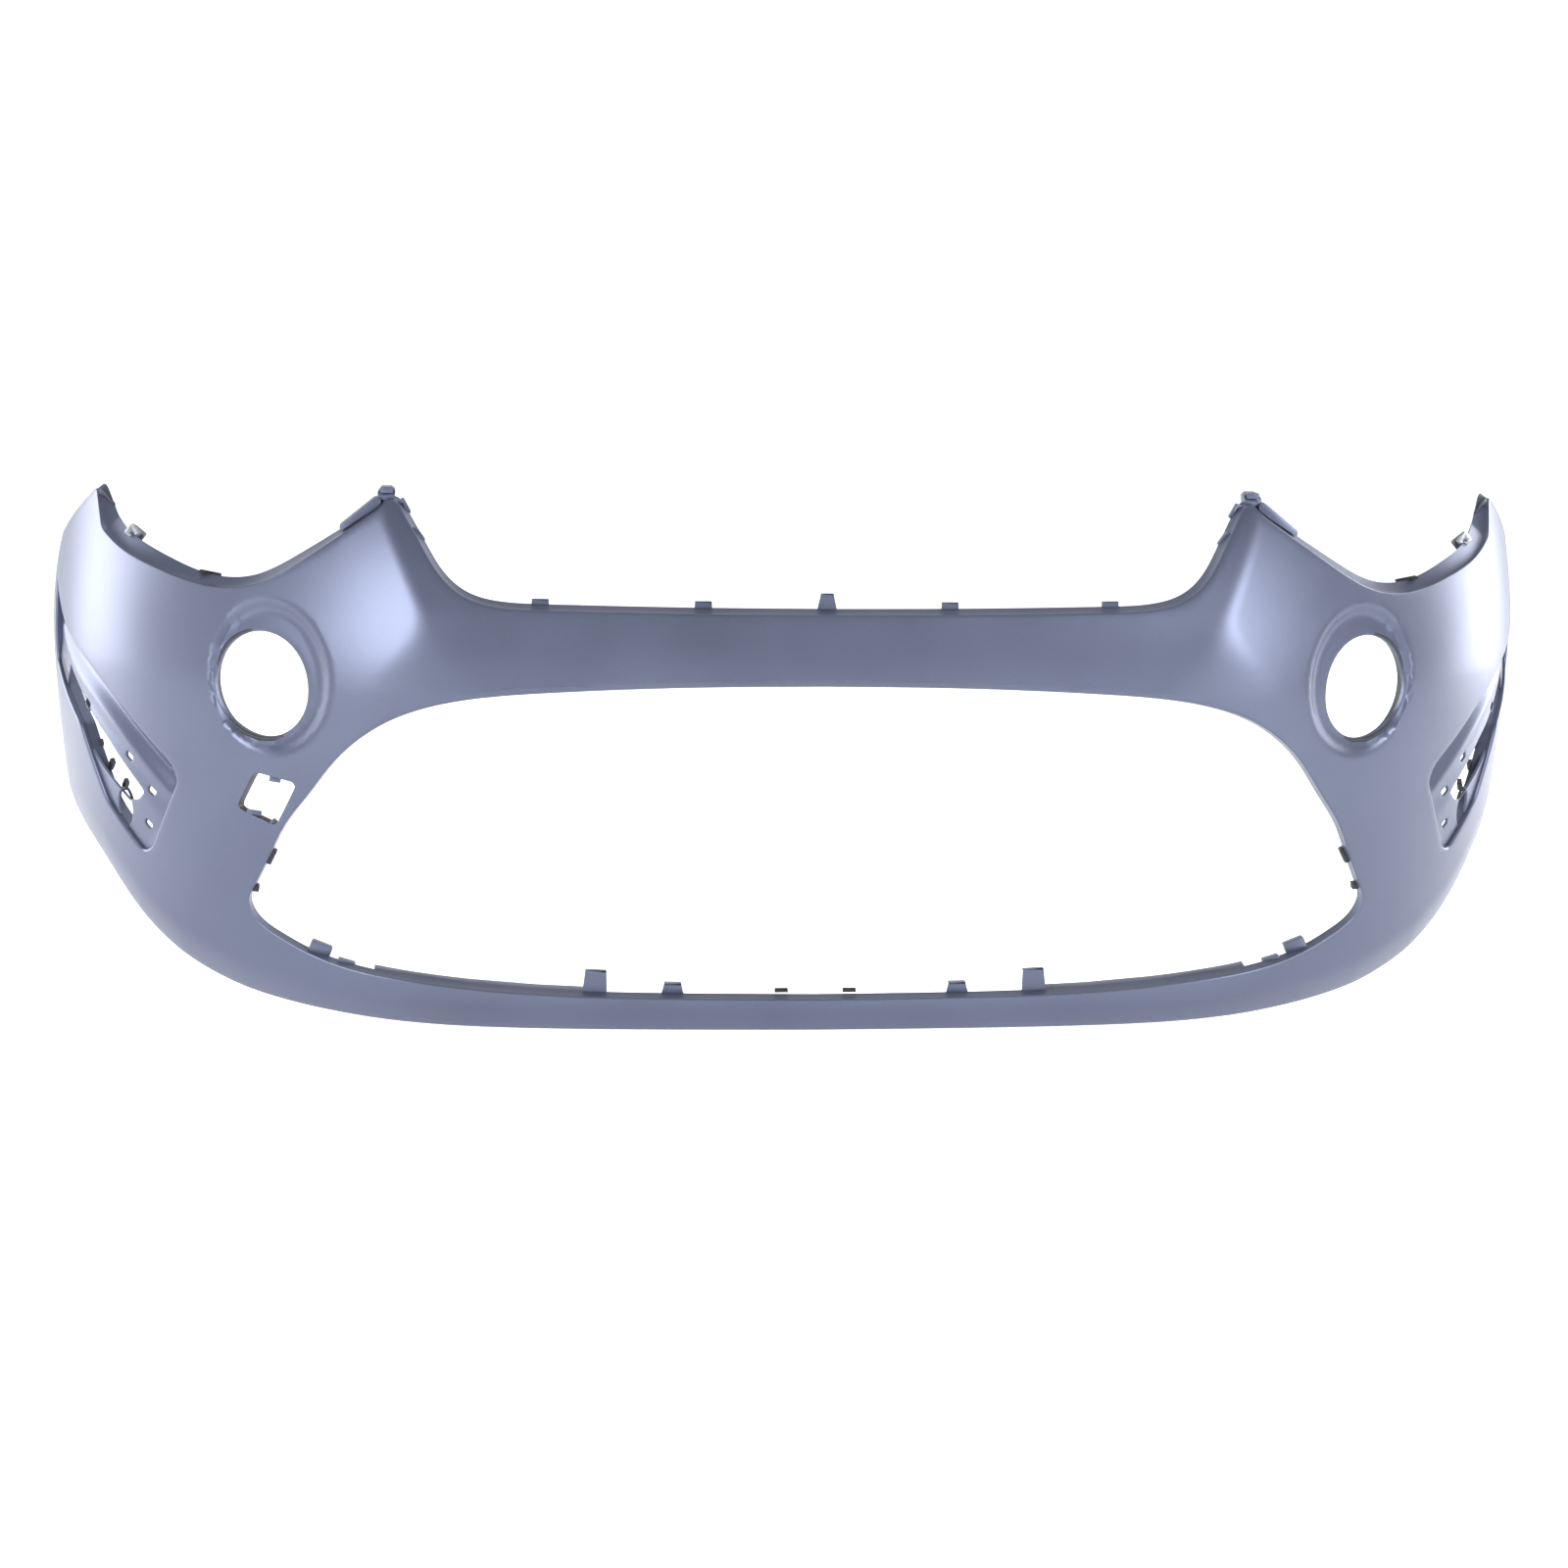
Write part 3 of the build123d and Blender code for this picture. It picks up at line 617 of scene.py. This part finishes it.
grille_half = smooth_line(GRILLE)
grille_loop = closed_line(np.vstack([grille_half, grille_half[::-1][1:-1] * [-1, 1]]), 5.0)
fog_axes, vent_axes, front_axes = side_axes(FOG_YAW), side_axes(VENT_AZIMUTH), side_axes(0)
turn = np.linspace(0, 2 * math.pi, 84, endpoint=False)
fog_centre = surface(np.array([[FOG_U, FOG_Z]]))[0]
fog_targets = np.stack([
    fog_centre @ fog_axes[0] + FOG_RADIUS * np.cos(turn),
    fog_centre @ fog_axes[1] + FOG_RADIUS * np.sin(turn),
], axis=1)
fog_guess = np.stack([FOG_U + 64 * np.cos(turn), FOG_Z + 64 * np.sin(turn)], 1)
fog_loop = found_on(fog_axes, fog_targets, fog_guess)
vent_loop = polygon_on(vent_axes, VENT, 4.0, 4)
tow_loop = polygon_on(front_axes, TOW_EYE, 3.0, 6)
print("holes:", len(grille_loop), len(fog_loop), len(vent_loop), len(tow_loop))


# %% Mould the skin
def backwards(normals):
    return np.tile([0.0, 1.0, 0.0], (len(normals), 1))


def along_axis(axis, side):
    """Straight into the cover along a hole's own axis."""
    inward = -axis * [side, 1, 1]
    return lambda normals: np.tile(inward, (len(normals), 1))


def skin_back(normals):
    """Top flanges run straight back; the sides and the lower lip turn square to the skin."""
    high = ease(-0.1, 0.35, normals[:, 2])[:, None]
    side = ease(0.75, 0.92, abs(normals[:, 0]))[:, None]
    mix = (1 - side) * high
    way = mix * [0.0, 1.0, 0.0] - (1 - mix) * normals
    return way / np.linalg.norm(way, axis=1, keepdims=True)


# The tow eye's flange turns black from its second row on: painted shade on the hole's inner wall. The other
# edges never reach their limit.
skin_edges = [
    {"loop": skin_outline, "radius": 2.6, "steps": 4, "bow": 1.3, "painted_shade_from": 99, "back": skin_back},
    {"loop": with_flange(grille_loop, 3, 20), "radius": 2.6, "steps": 4, "bow": 1.2, "painted_shade_from": 99,
     "back": backwards},
    {"loop": with_flange(tow_loop, 0, 14), "radius": 1.2, "steps": 2, "bow": 1.0, "painted_shade_from": 2,
     "back": along_axis(fog_axes[2], -1)},
]
for side in (1, -1):
    fog_here = fog_loop if side > 0 else other_side(fog_loop)
    vent_here = vent_loop if side > 0 else other_side(vent_loop)
    skin_edges.append({"loop": with_flange(fog_here, 0, 7), "radius": 2.6, "steps": 2, "bow": 1.0,
                       "painted_shade_from": 99, "back": along_axis(fog_axes[2], side)})
    vent_edge = with_flange(vent_here, 0, 21)
    vent_edge[:, 3] = 7 + 14 * ease(4, 16, nearest(smooth_line(CREASE) * [side, 1], vent_here))
    skin_edges.append({"loop": vent_edge, "radius": 4.0, "steps": 4, "bow": 1.0,
                       "painted_shade_from": 99, "back": along_axis(vent_axes[2], side)})

skin = moulded_sheet("cover_skin_moulding", skin_edges, 6.5, surface, 2.6, [primer, black])
stands_for(skin, "satin_primer", "cover_skin")

# %% [markdown]
# ## Side vents
#
# Each vent is a sunk pan behind the hole. Under the crease lies a trough, then a shallower
# land with clip windows and a long slot, and below that a raised floor with an oval hole.
# The pan is the same kind of sheet as the skin, but each point is pushed in by a depth
# that depends on how far it lies below the crease.

# %% Mould the vent pans
VENT_SLOT = [
    (1118, 398), (1060, 366), (985, 322), (915, 272), (903, 262), (915, 252),
    (935, 248), (1000, 280), (1085, 330), (1128, 362),
]
VENT_OVAL = (948, 236, 17, 25)
VENT_WINDOWS = [(1042, 357), (936, 305), (856, 300), (891, 266), (897, 222)]
VENT_BLIND = (1150, 372, 34, 26)
VENT_BLIND_SLOPE = 0.5
PAN_FRONT, TROUGH, TROUGH_SLOPE = 4, 26.0, 0.68
LAND_RISE, LAND_UNTIL = 12, 46
FLOOR_RISE, FLOOR_FROM, FLOOR_UNTIL = 4, 56, 84
FRONT_RAMP = 16                 # the pan starts shallow this near its front edge
crease_line = smooth_line(CREASE)
front_line = smooth_line([(838, 309), (829, 288), (884, 194)])


def pan_depth(places):
    """How far the pan lies behind the skin: trough, land, floor."""
    right_side = abs(places[:, 0])[:, None] * [1, 0] + places * [0, 1]
    below = nearest(crease_line, right_side)
    trough = TROUGH_SLOPE * np.minimum(below, TROUGH)
    land = LAND_RISE * ease(TROUGH, LAND_UNTIL, below)
    floor = FLOOR_RISE * ease(FLOOR_FROM, FLOOR_UNTIL, below)
    return PAN_FRONT + (trough - land - floor) * ease(0, FRONT_RAMP, nearest(front_line, right_side))


def pan_surface(places):
    """The skin pushed in along the vent's own axis."""
    axis = vent_axes[2] * np.sign(places[:, :1]) * [1, 0, 0] + vent_axes[2] * [0, 1, 1]
    return surface(places) - axis * pan_depth(places)[:, None]


def ellipse(centre_u, centre_z, half_u, half_z, count=40):
    angle = np.linspace(0, 2 * math.pi, count, endpoint=False)
    return np.stack([centre_u + half_u * np.cos(angle), centre_z + half_z * np.sin(angle)], axis=1)


def tilted_window(centre_u, centre_z, length, height, tilt=30):
    """A small rounded window, its long side parallel to the crease."""
    way = np.array([math.cos(math.radians(tilt)), math.sin(math.radians(tilt))])
    across = np.array([-way[1], way[0]])
    halves = way * length / 2, across * height / 2
    corners = [a * halves[0] + b * halves[1] for a, b in ((-1, -1), (1, -1), (1, 1), (-1, 1))]
    return closed_line(np.array(corners) + [centre_u, centre_z], 2.0, 1)


def bare_end(places):
    """The blind black window at the pan's rear end."""
    u, z, half_u, half_z = VENT_BLIND
    beside = abs(places[:, 0]) - u
    return (abs(beside) < half_u) & (abs(places[:, 1] - z - VENT_BLIND_SLOPE * beside) < half_z)


for side in (1, -1):
    holes = [closed_line(np.array(VENT_SLOT, float), 3.0, 2), ellipse(*VENT_OVAL)]
    holes += [tilted_window(u, z, 15, 8) for u, z in VENT_WINDOWS]
    rings = [vent_loop] + holes
    if side < 0:
        rings = [other_side(ring) for ring in rings]
    pan_edges = [{"loop": with_flange(rings[0], 0, 1.5), "radius": 0.5, "inset": -1.6, "steps": 1, "bow": 1.0,
                  "painted_shade_from": 99, "back": along_axis(vent_axes[2], side)}]
    for ring in rings[1:]:
        pan_edges.append({"loop": with_flange(ring, 0, 3.5), "radius": 0.8, "steps": 1, "bow": 1.0,
                          "painted_shade_from": 99, "back": along_axis(vent_axes[2], side)})
    label = "right" if side > 0 else "left"
    pan = moulded_sheet(f"vent_pan_{label}_moulding", pan_edges, 4.0, pan_surface, 2.2,
                        [primer, black], bare_end)
    stands_for(pan, "satin_primer", f"vent_pan_{label}")

# %% [markdown]
# ## Fog lamp tubes
#
# Behind each lamp hole stands a short black tube with a lip inside and three screw ears.
# It is a turned shape, so its profile is written once and carried round the lamp's axis.
# The ears repeat, so they are placed three times at equal angles. The tube is shorter and
# wider behind its lip than the CAD model's plain bore, which holds the true seat size.

# %% Spin the lamp tubes
TUBE_PROFILE = [
    (65.0, -3.0), (67.8, -3.0), (70.0, -5.0), (70.0, -20.0), (68.0, -20.0), (68.0, -13.0),
    (64.6, -11.0),
]                               # radius and depth, once round the tube's wall
TUBE_SIDES = 96
EAR_ANGLES = (30, 150, 270)
EAR_AT, EAR_RADIUS, EAR_HOLE, EAR_SIDES = 79, 9, 2.5, 24
EAR_FRONT, EAR_BACK = -16, -20
EAR_ROOT = 69.5                 # the ears end just inside the tube's outer wall


def lamp_tube(side):
    """The tube with its ears, in place behind the skin."""
    rise_way, facing = (axis * [side, 1, 1] for axis in fog_axes[1:])
    seat = surface(np.array([[side * FOG_U, FOG_Z]]))[0] - facing * 3.0
    across = np.cross(rise_way, facing)

    def at(x, y, depth):
        return Vector((seat + across * x + rise_way * y + facing * depth) * MM)

    work = bmesh.new()
    rings = []
    for k in range(TUBE_SIDES):
        angle = 2 * math.pi * k / TUBE_SIDES
        cos, sin = math.cos(angle), math.sin(angle)
        rings.append([work.verts.new(at(r * cos, r * sin, d)) for r, d in TUBE_PROFILE])
    for k in range(TUBE_SIDES):
        here, there = rings[k], rings[(k + 1) % TUBE_SIDES]
        for i in range(len(TUBE_PROFILE)):
            j = (i + 1) % len(TUBE_PROFILE)
            work.faces.new((here[i], here[j], there[j], there[i]))
    for degrees in EAR_ANGLES:
        way = math.radians(degrees)
        centre = (EAR_AT * math.cos(way), EAR_AT * math.sin(way))
        outer, hole = [], []
        for k in range(EAR_SIDES):
            angle = 2 * math.pi * k / EAR_SIDES
            cos, sin = math.cos(angle), math.sin(angle)
            tip = (centre[0] + EAR_RADIUS * cos, centre[1] + EAR_RADIUS * sin)
            pull = max(1.0, EAR_ROOT / math.hypot(*tip))
            outer.append((tip[0] * pull, tip[1] * pull))
            hole.append((centre[0] + EAR_HOLE * cos, centre[1] + EAR_HOLE * sin))
        rims = (outer, EAR_FRONT), (outer, EAR_BACK), (hole, EAR_BACK), (hole, EAR_FRONT)
        layers = [[work.verts.new(at(x, y, d)) for x, y in ring] for ring, d in rims]
        for a, b in zip(layers, layers[1:] + layers[:1]):
            for k in range(EAR_SIDES):
                after = (k + 1) % EAR_SIDES
                work.faces.new((a[k], a[after], b[after], b[k]))
    bmesh.ops.recalc_face_normals(work, faces=work.faces)
    label = "right" if side > 0 else "left"
    mesh = bpy.data.meshes.new(f"fog_tube_{label}")
    work.to_mesh(mesh)
    work.free()
    mesh.materials.append(black)
    rough = bpy.data.objects.new(f"fog_tube_{label}_rough", mesh)
    bpy.context.scene.collection.objects.link(rough)
    bevel = rough.modifiers.new("edges", "BEVEL")
    bevel.width = 0.0004
    bevel.segments = 2
    bevel.limit_method = "ANGLE"
    bevel.angle_limit = math.radians(40)
    return stands_for(finished(f"fog_tube_{label}", rough), "raw_black_plastic", f"fog_collar_{label}")


for side in (1, -1):
    lamp_tube(side)

# %% [markdown]
# ## Small moulded pieces
#
# Hooks, loops and brackets are right in the CAD model, apart from their edges, which are
# knife-sharp there. A real moulding has small radii that catch the light. The CAD mesh is
# loose triangles, so a copy is merged first and then bevelled.

# %% Soften the CAD pieces
def softened(node, slot, radius=0.5):
    """A copy of a CAD node with merged corners and small rounded edges."""
    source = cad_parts[node]
    copy = bpy.data.objects.new(node + "_rough", source.data.copy())
    bpy.context.scene.collection.objects.link(copy)
    work = bmesh.new()
    work.from_mesh(copy.data)
    bmesh.ops.remove_doubles(work, verts=work.verts, dist=1e-5)
    bmesh.ops.dissolve_limit(work, angle_limit=math.radians(2), verts=work.verts, edges=work.edges)
    work.to_mesh(copy.data)
    work.free()
    copy.data.materials.clear()
    copy.data.materials.append(finish[slot])
    bevel = copy.modifiers.new("edges", "BEVEL")
    bevel.width = radius * MM
    bevel.segments = 2
    bevel.limit_method = "ANGLE"
    bevel.angle_limit = math.radians(35)
    bevel.use_clamp_overlap = True
    return stands_for(finished(node + "_moulded", copy), slot, node)


for side in ("left", "right"):
    for name in ("horn_cap", "horn_lip", "horn_loops", "lower_corner_tabs", "lower_shelf"):
        softened(f"{name}_{side}", "satin_primer")
    for name in ("corner_bracket", "opening_hooks", "vent_hooks"):
        softened(f"{name}_{side}", "raw_black_plastic")
    softened(f"tip_clip_{side}", "spring_steel", 0.25)
    softened(f"lamp_edge_strips_{side}", "foam_strip")
softened("tow_eye_clips", "satin_primer")

# %% [markdown]
# ### Rows of tongues
#
# The grille and its trim hang on upright tongues that repeat along the edges. One node
# group makes a tongue: a slab that narrows upwards, with a small lip to the rear at its
# top. The same group then places it on every point of a row, turned to follow the edge.

# %% Grow the tongues
TONGUE_WALL = 2.2
TONGUE_DEPTH = 18               # how far behind the skin a tongue's foot stands
TONGUES = {                     # places (distance, height, turn), foot, top, height, lip, slot
    "crossbar_tabs": ([(147, 532, 0), (341, 534, 1)], 21, 20, 9, 5, "satin_primer"),
    "crossbar_centre_tab": ([(0, 531, 0)], 24, 15, 20, 5, "satin_primer"),
    "lower_tall_tabs": ([(272, 38, 3)], 30, 26, 27, 8, "satin_primer"),
    "lower_wide_tabs": ([(176, 36, 1)], 27, 21, 12, 12, "satin_primer"),
    "lower_small_tabs": ([(42, 36, 0)], 17, 16, 5, 5, "raw_black_plastic"),
}


def tongue_tree():
    """Node group: a tapered slab with a lip, placed on points and turned by their attribute."""
    tree = bpy.data.node_groups.new("tongue_row", "GeometryNodeTree")
    tree.interface.new_socket("Geometry", in_out="INPUT", socket_type="NodeSocketGeometry")
    for name in ("Foot", "Top", "Height", "Wall", "Lip"):
        tree.interface.new_socket(name, in_out="INPUT", socket_type="NodeSocketFloat")
    tree.interface.new_socket("Material", in_out="INPUT", socket_type="NodeSocketMaterial")
    tree.interface.new_socket("Geometry", in_out="OUTPUT", socket_type="NodeSocketGeometry")
    given = add_node(tree, "NodeGroupInput").outputs
    half = {}
    for name in ("Height", "Wall", "Lip"):
        halved = add_node(tree, "ShaderNodeMath", {1: 0.5}, {0: given[name]}, operation="MULTIPLY")
        half[name] = halved.outputs[0]
    slab_size = add_node(tree, "ShaderNodeCombineXYZ", None,
                         {"X": given["Foot"], "Y": given["Wall"], "Z": given["Height"]})
    slab_shift = add_node(tree, "ShaderNodeCombineXYZ", None, {"Y": half["Wall"], "Z": half["Height"]})
    slab = add_node(tree, "GeometryNodeMeshCube", None, {"Size": slab_size.outputs[0]})
    raised = add_node(tree, "GeometryNodeTransform", None,
                      {"Geometry": slab.outputs["Mesh"], "Translation": slab_shift.outputs[0]})
    where = add_node(tree, "GeometryNodeInputPosition")
    split = add_node(tree, "ShaderNodeSeparateXYZ", None, {0: where.outputs[0]})
    narrow = add_node(tree, "ShaderNodeMath", None, {0: given["Top"], 1: given["Foot"]}, operation="DIVIDE")
    taper = add_node(tree, "ShaderNodeMapRange", {"From Min": 0.0, "To Min": 1.0},
                     {"Value": split.outputs["Z"], "From Max": given["Height"], "To Max": narrow.outputs[0]})
    across = add_node(tree, "ShaderNodeMath", None, {0: split.outputs["X"], 1: taper.outputs[0]},
                      operation="MULTIPLY")
    placed = add_node(tree, "ShaderNodeCombineXYZ", None,
                      {"X": across.outputs[0], "Y": split.outputs["Y"], "Z": split.outputs["Z"]})
    slanted = add_node(tree, "GeometryNodeSetPosition", None,
                       {"Geometry": raised.outputs[0], "Position": placed.outputs[0]})
    lip_size = add_node(tree, "ShaderNodeCombineXYZ", None,
                        {"X": given["Top"], "Y": given["Lip"], "Z": given["Wall"]})
    below = add_node(tree, "ShaderNodeMath", None, {0: given["Height"], 1: half["Wall"]},
                     operation="SUBTRACT")
    lip_shift = add_node(tree, "ShaderNodeCombineXYZ", None, {"Y": half["Lip"], "Z": below.outputs[0]})
    bar = add_node(tree, "GeometryNodeMeshCube", None, {"Size": lip_size.outputs[0]})
    lip = add_node(tree, "GeometryNodeTransform", None,
                   {"Geometry": bar.outputs["Mesh"], "Translation": lip_shift.outputs[0]})
    union = add_node(tree, "GeometryNodeMeshBoolean", operation="UNION")
    tree.links.new(slanted.outputs[0], union.inputs["Mesh 2"])
    tree.links.new(lip.outputs[0], union.inputs["Mesh 2"])
    turn = add_node(tree, "GeometryNodeInputNamedAttribute", {"Name": "turn"}, data_type="FLOAT_VECTOR")
    spin = add_node(tree, "FunctionNodeEulerToRotation", None, {0: turn.outputs[0]})
    rows = add_node(tree, "GeometryNodeInstanceOnPoints", None,
                    {"Points": given["Geometry"], "Instance": union.outputs["Mesh"],
                     "Rotation": spin.outputs[0]})
    real = add_node(tree, "GeometryNodeRealizeInstances", None, {"Geometry": rows.outputs[0]})
    coat = add_node(tree, "GeometryNodeSetMaterial", None,
                    {"Geometry": real.outputs[0], "Material": given["Material"]})
    add_node(tree, "NodeGroupOutput", None, {0: coat.outputs[0]})
    return tree


def tongue_row(name, tree, places, sizes, slot):
    """One row of tongues, grown by the node group on points behind the skin."""
    spots, turns = [], []
    for u, z, degrees in places:
        for side in ((1, -1) if u else (1,)):
            at = np.array([[u * side, z]], float)
            spots.append(((surface(at) - outward(at) * TONGUE_DEPTH)[0] * MM).tolist())
            turns += [0.0, -math.radians(degrees) * side, 0.0]
    mesh = bpy.data.meshes.new(name)
    mesh.from_pydata(spots, [], [])
    mesh.attributes.new("turn", "FLOAT_VECTOR", "POINT").data.foreach_set("vector", turns)
    row = bpy.data.objects.new(name + "_points", mesh)
    bpy.context.scene.collection.objects.link(row)
    grow = row.modifiers.new("tongues", "NODES")
    grow.node_group = tree
    sockets = {item.name: item.identifier for item in tree.interface.items_tree if item.in_out == "INPUT"}
    for label, value in zip(("Foot", "Top", "Height", "Wall", "Lip"), sizes):
        grow[sockets[label]] = value * MM
    grow[sockets["Material"]] = finish[slot]
    bevel = row.modifiers.new("edges", "BEVEL")
    bevel.width = 0.4 * MM
    bevel.segments = 2
    bevel.limit_method = "ANGLE"
    return stands_for(finished(name + "_grown", row), slot, name)


tongues = tongue_tree()
for name, (places, foot, top, height, lip, slot) in TONGUES.items():
    tongue_row(name, tongues, places, (foot, top, height, TONGUE_WALL, lip), slot)

# %% [markdown]
# ## Studio
#
# A satin surface looks like what it reflects. Two upright soft boxes stand in front to the
# left and right, and give the bright bands beside the horns. The crossbar faces straight
# ahead, between them, so it stays darker. Side boxes light the wrapped corners.

# %% Floor and lights
def studio_bowl():
    """White paper floor that curves up into a wall all round, with a painted glow that grows brighter behind.
    """
    material, tree, shader, place = new_material("white_studio_paper")
    split = add_node(tree, "ShaderNodeSeparateXYZ", links={"Vector": place})
    # The paper's emission is a painted glow: none at the front, brightest behind.
    glow = add_node(tree, "ShaderNodeMapRange",
                    {"From Min": -4.0, "From Max": 0.5, "To Min": 0.0, "To Max": 0.64},
                    {"Value": split.outputs["Y"]})
    shader.inputs["Base Color"].default_value = linear("F6F6F6")
    shader.inputs["Roughness"].default_value = 0.9
    shader.inputs["Emission Color"].default_value = linear("FFFFFF")
    tree.links.new(glow.outputs[0], shader.inputs["Emission Strength"])
    work = bmesh.new()
    profile = [
        (0.0, 0.0), (6.0, 0.0), (9.0, 0.02), (11.0, 0.3), (12.5, 1.2), (13.3, 2.8), (13.5, 5.0), (13.5, 8.0),
    ]
    corners = [work.verts.new((r, 0, z)) for r, z in profile]
    edges = [work.edges.new(pair) for pair in zip(corners, corners[1:])]
    bmesh.ops.spin(work, geom=corners + edges, cent=(0, 0, 0), axis=(0, 0, 1), angle=2 * math.pi,
                   steps=72, use_merge=True)
    bmesh.ops.remove_doubles(work, verts=work.verts, dist=1e-5)
    bmesh.ops.recalc_face_normals(work, faces=work.faces)
    mesh = bpy.data.meshes.new("studio_bowl")
    work.to_mesh(mesh)
    work.free()
    mesh.shade_smooth()
    mesh.materials.append(material)
    bowl = bpy.data.objects.new("studio_bowl", mesh)
    bpy.context.scene.collection.objects.link(bowl)
    return bowl


def soft_box(name, azimuth, elevation, distance, size, watts):
    """A rectangular light on a sphere round the cover, aimed at it."""
    turn, tilt = math.radians(azimuth), math.radians(elevation)
    where = Vector((math.sin(turn) * math.cos(tilt), -math.cos(turn) * math.cos(tilt), math.sin(tilt)))
    light = bpy.data.lights.new(name, "AREA")
    light.shape = "RECTANGLE"
    light.size, light.size_y = size
    light.energy = watts
    lamp = bpy.data.objects.new(name, light)
    bpy.context.scene.collection.objects.link(lamp)
    lamp.location = Vector((0, 0, 0.35)) + where * distance
    lamp.rotation_euler = (-where).to_track_quat("-Z", "Y").to_euler()
    return lamp


studio_bowl()
world = bpy.data.worlds.new("studio_world")
bpy.context.scene.world = world
world.use_nodes = True
world.node_tree.nodes["Background"].inputs["Color"].default_value = linear("F2F4F8")
world.node_tree.nodes["Background"].inputs["Strength"].default_value = 0.15
soft_box("band_left", -42, 20, 3.4, (0.9, 2.4), 125)
soft_box("band_right", 42, 20, 3.4, (0.9, 2.4), 125)
soft_box("side_left", -112, 12, 3.2, (1.2, 2.4), 90)
soft_box("side_right", 112, 12, 3.2, (1.2, 2.4), 90)
soft_box("overhead", 180, 70, 3.2, (3.0, 1.6), 30)
print("lights:", len(bpy.data.lights))
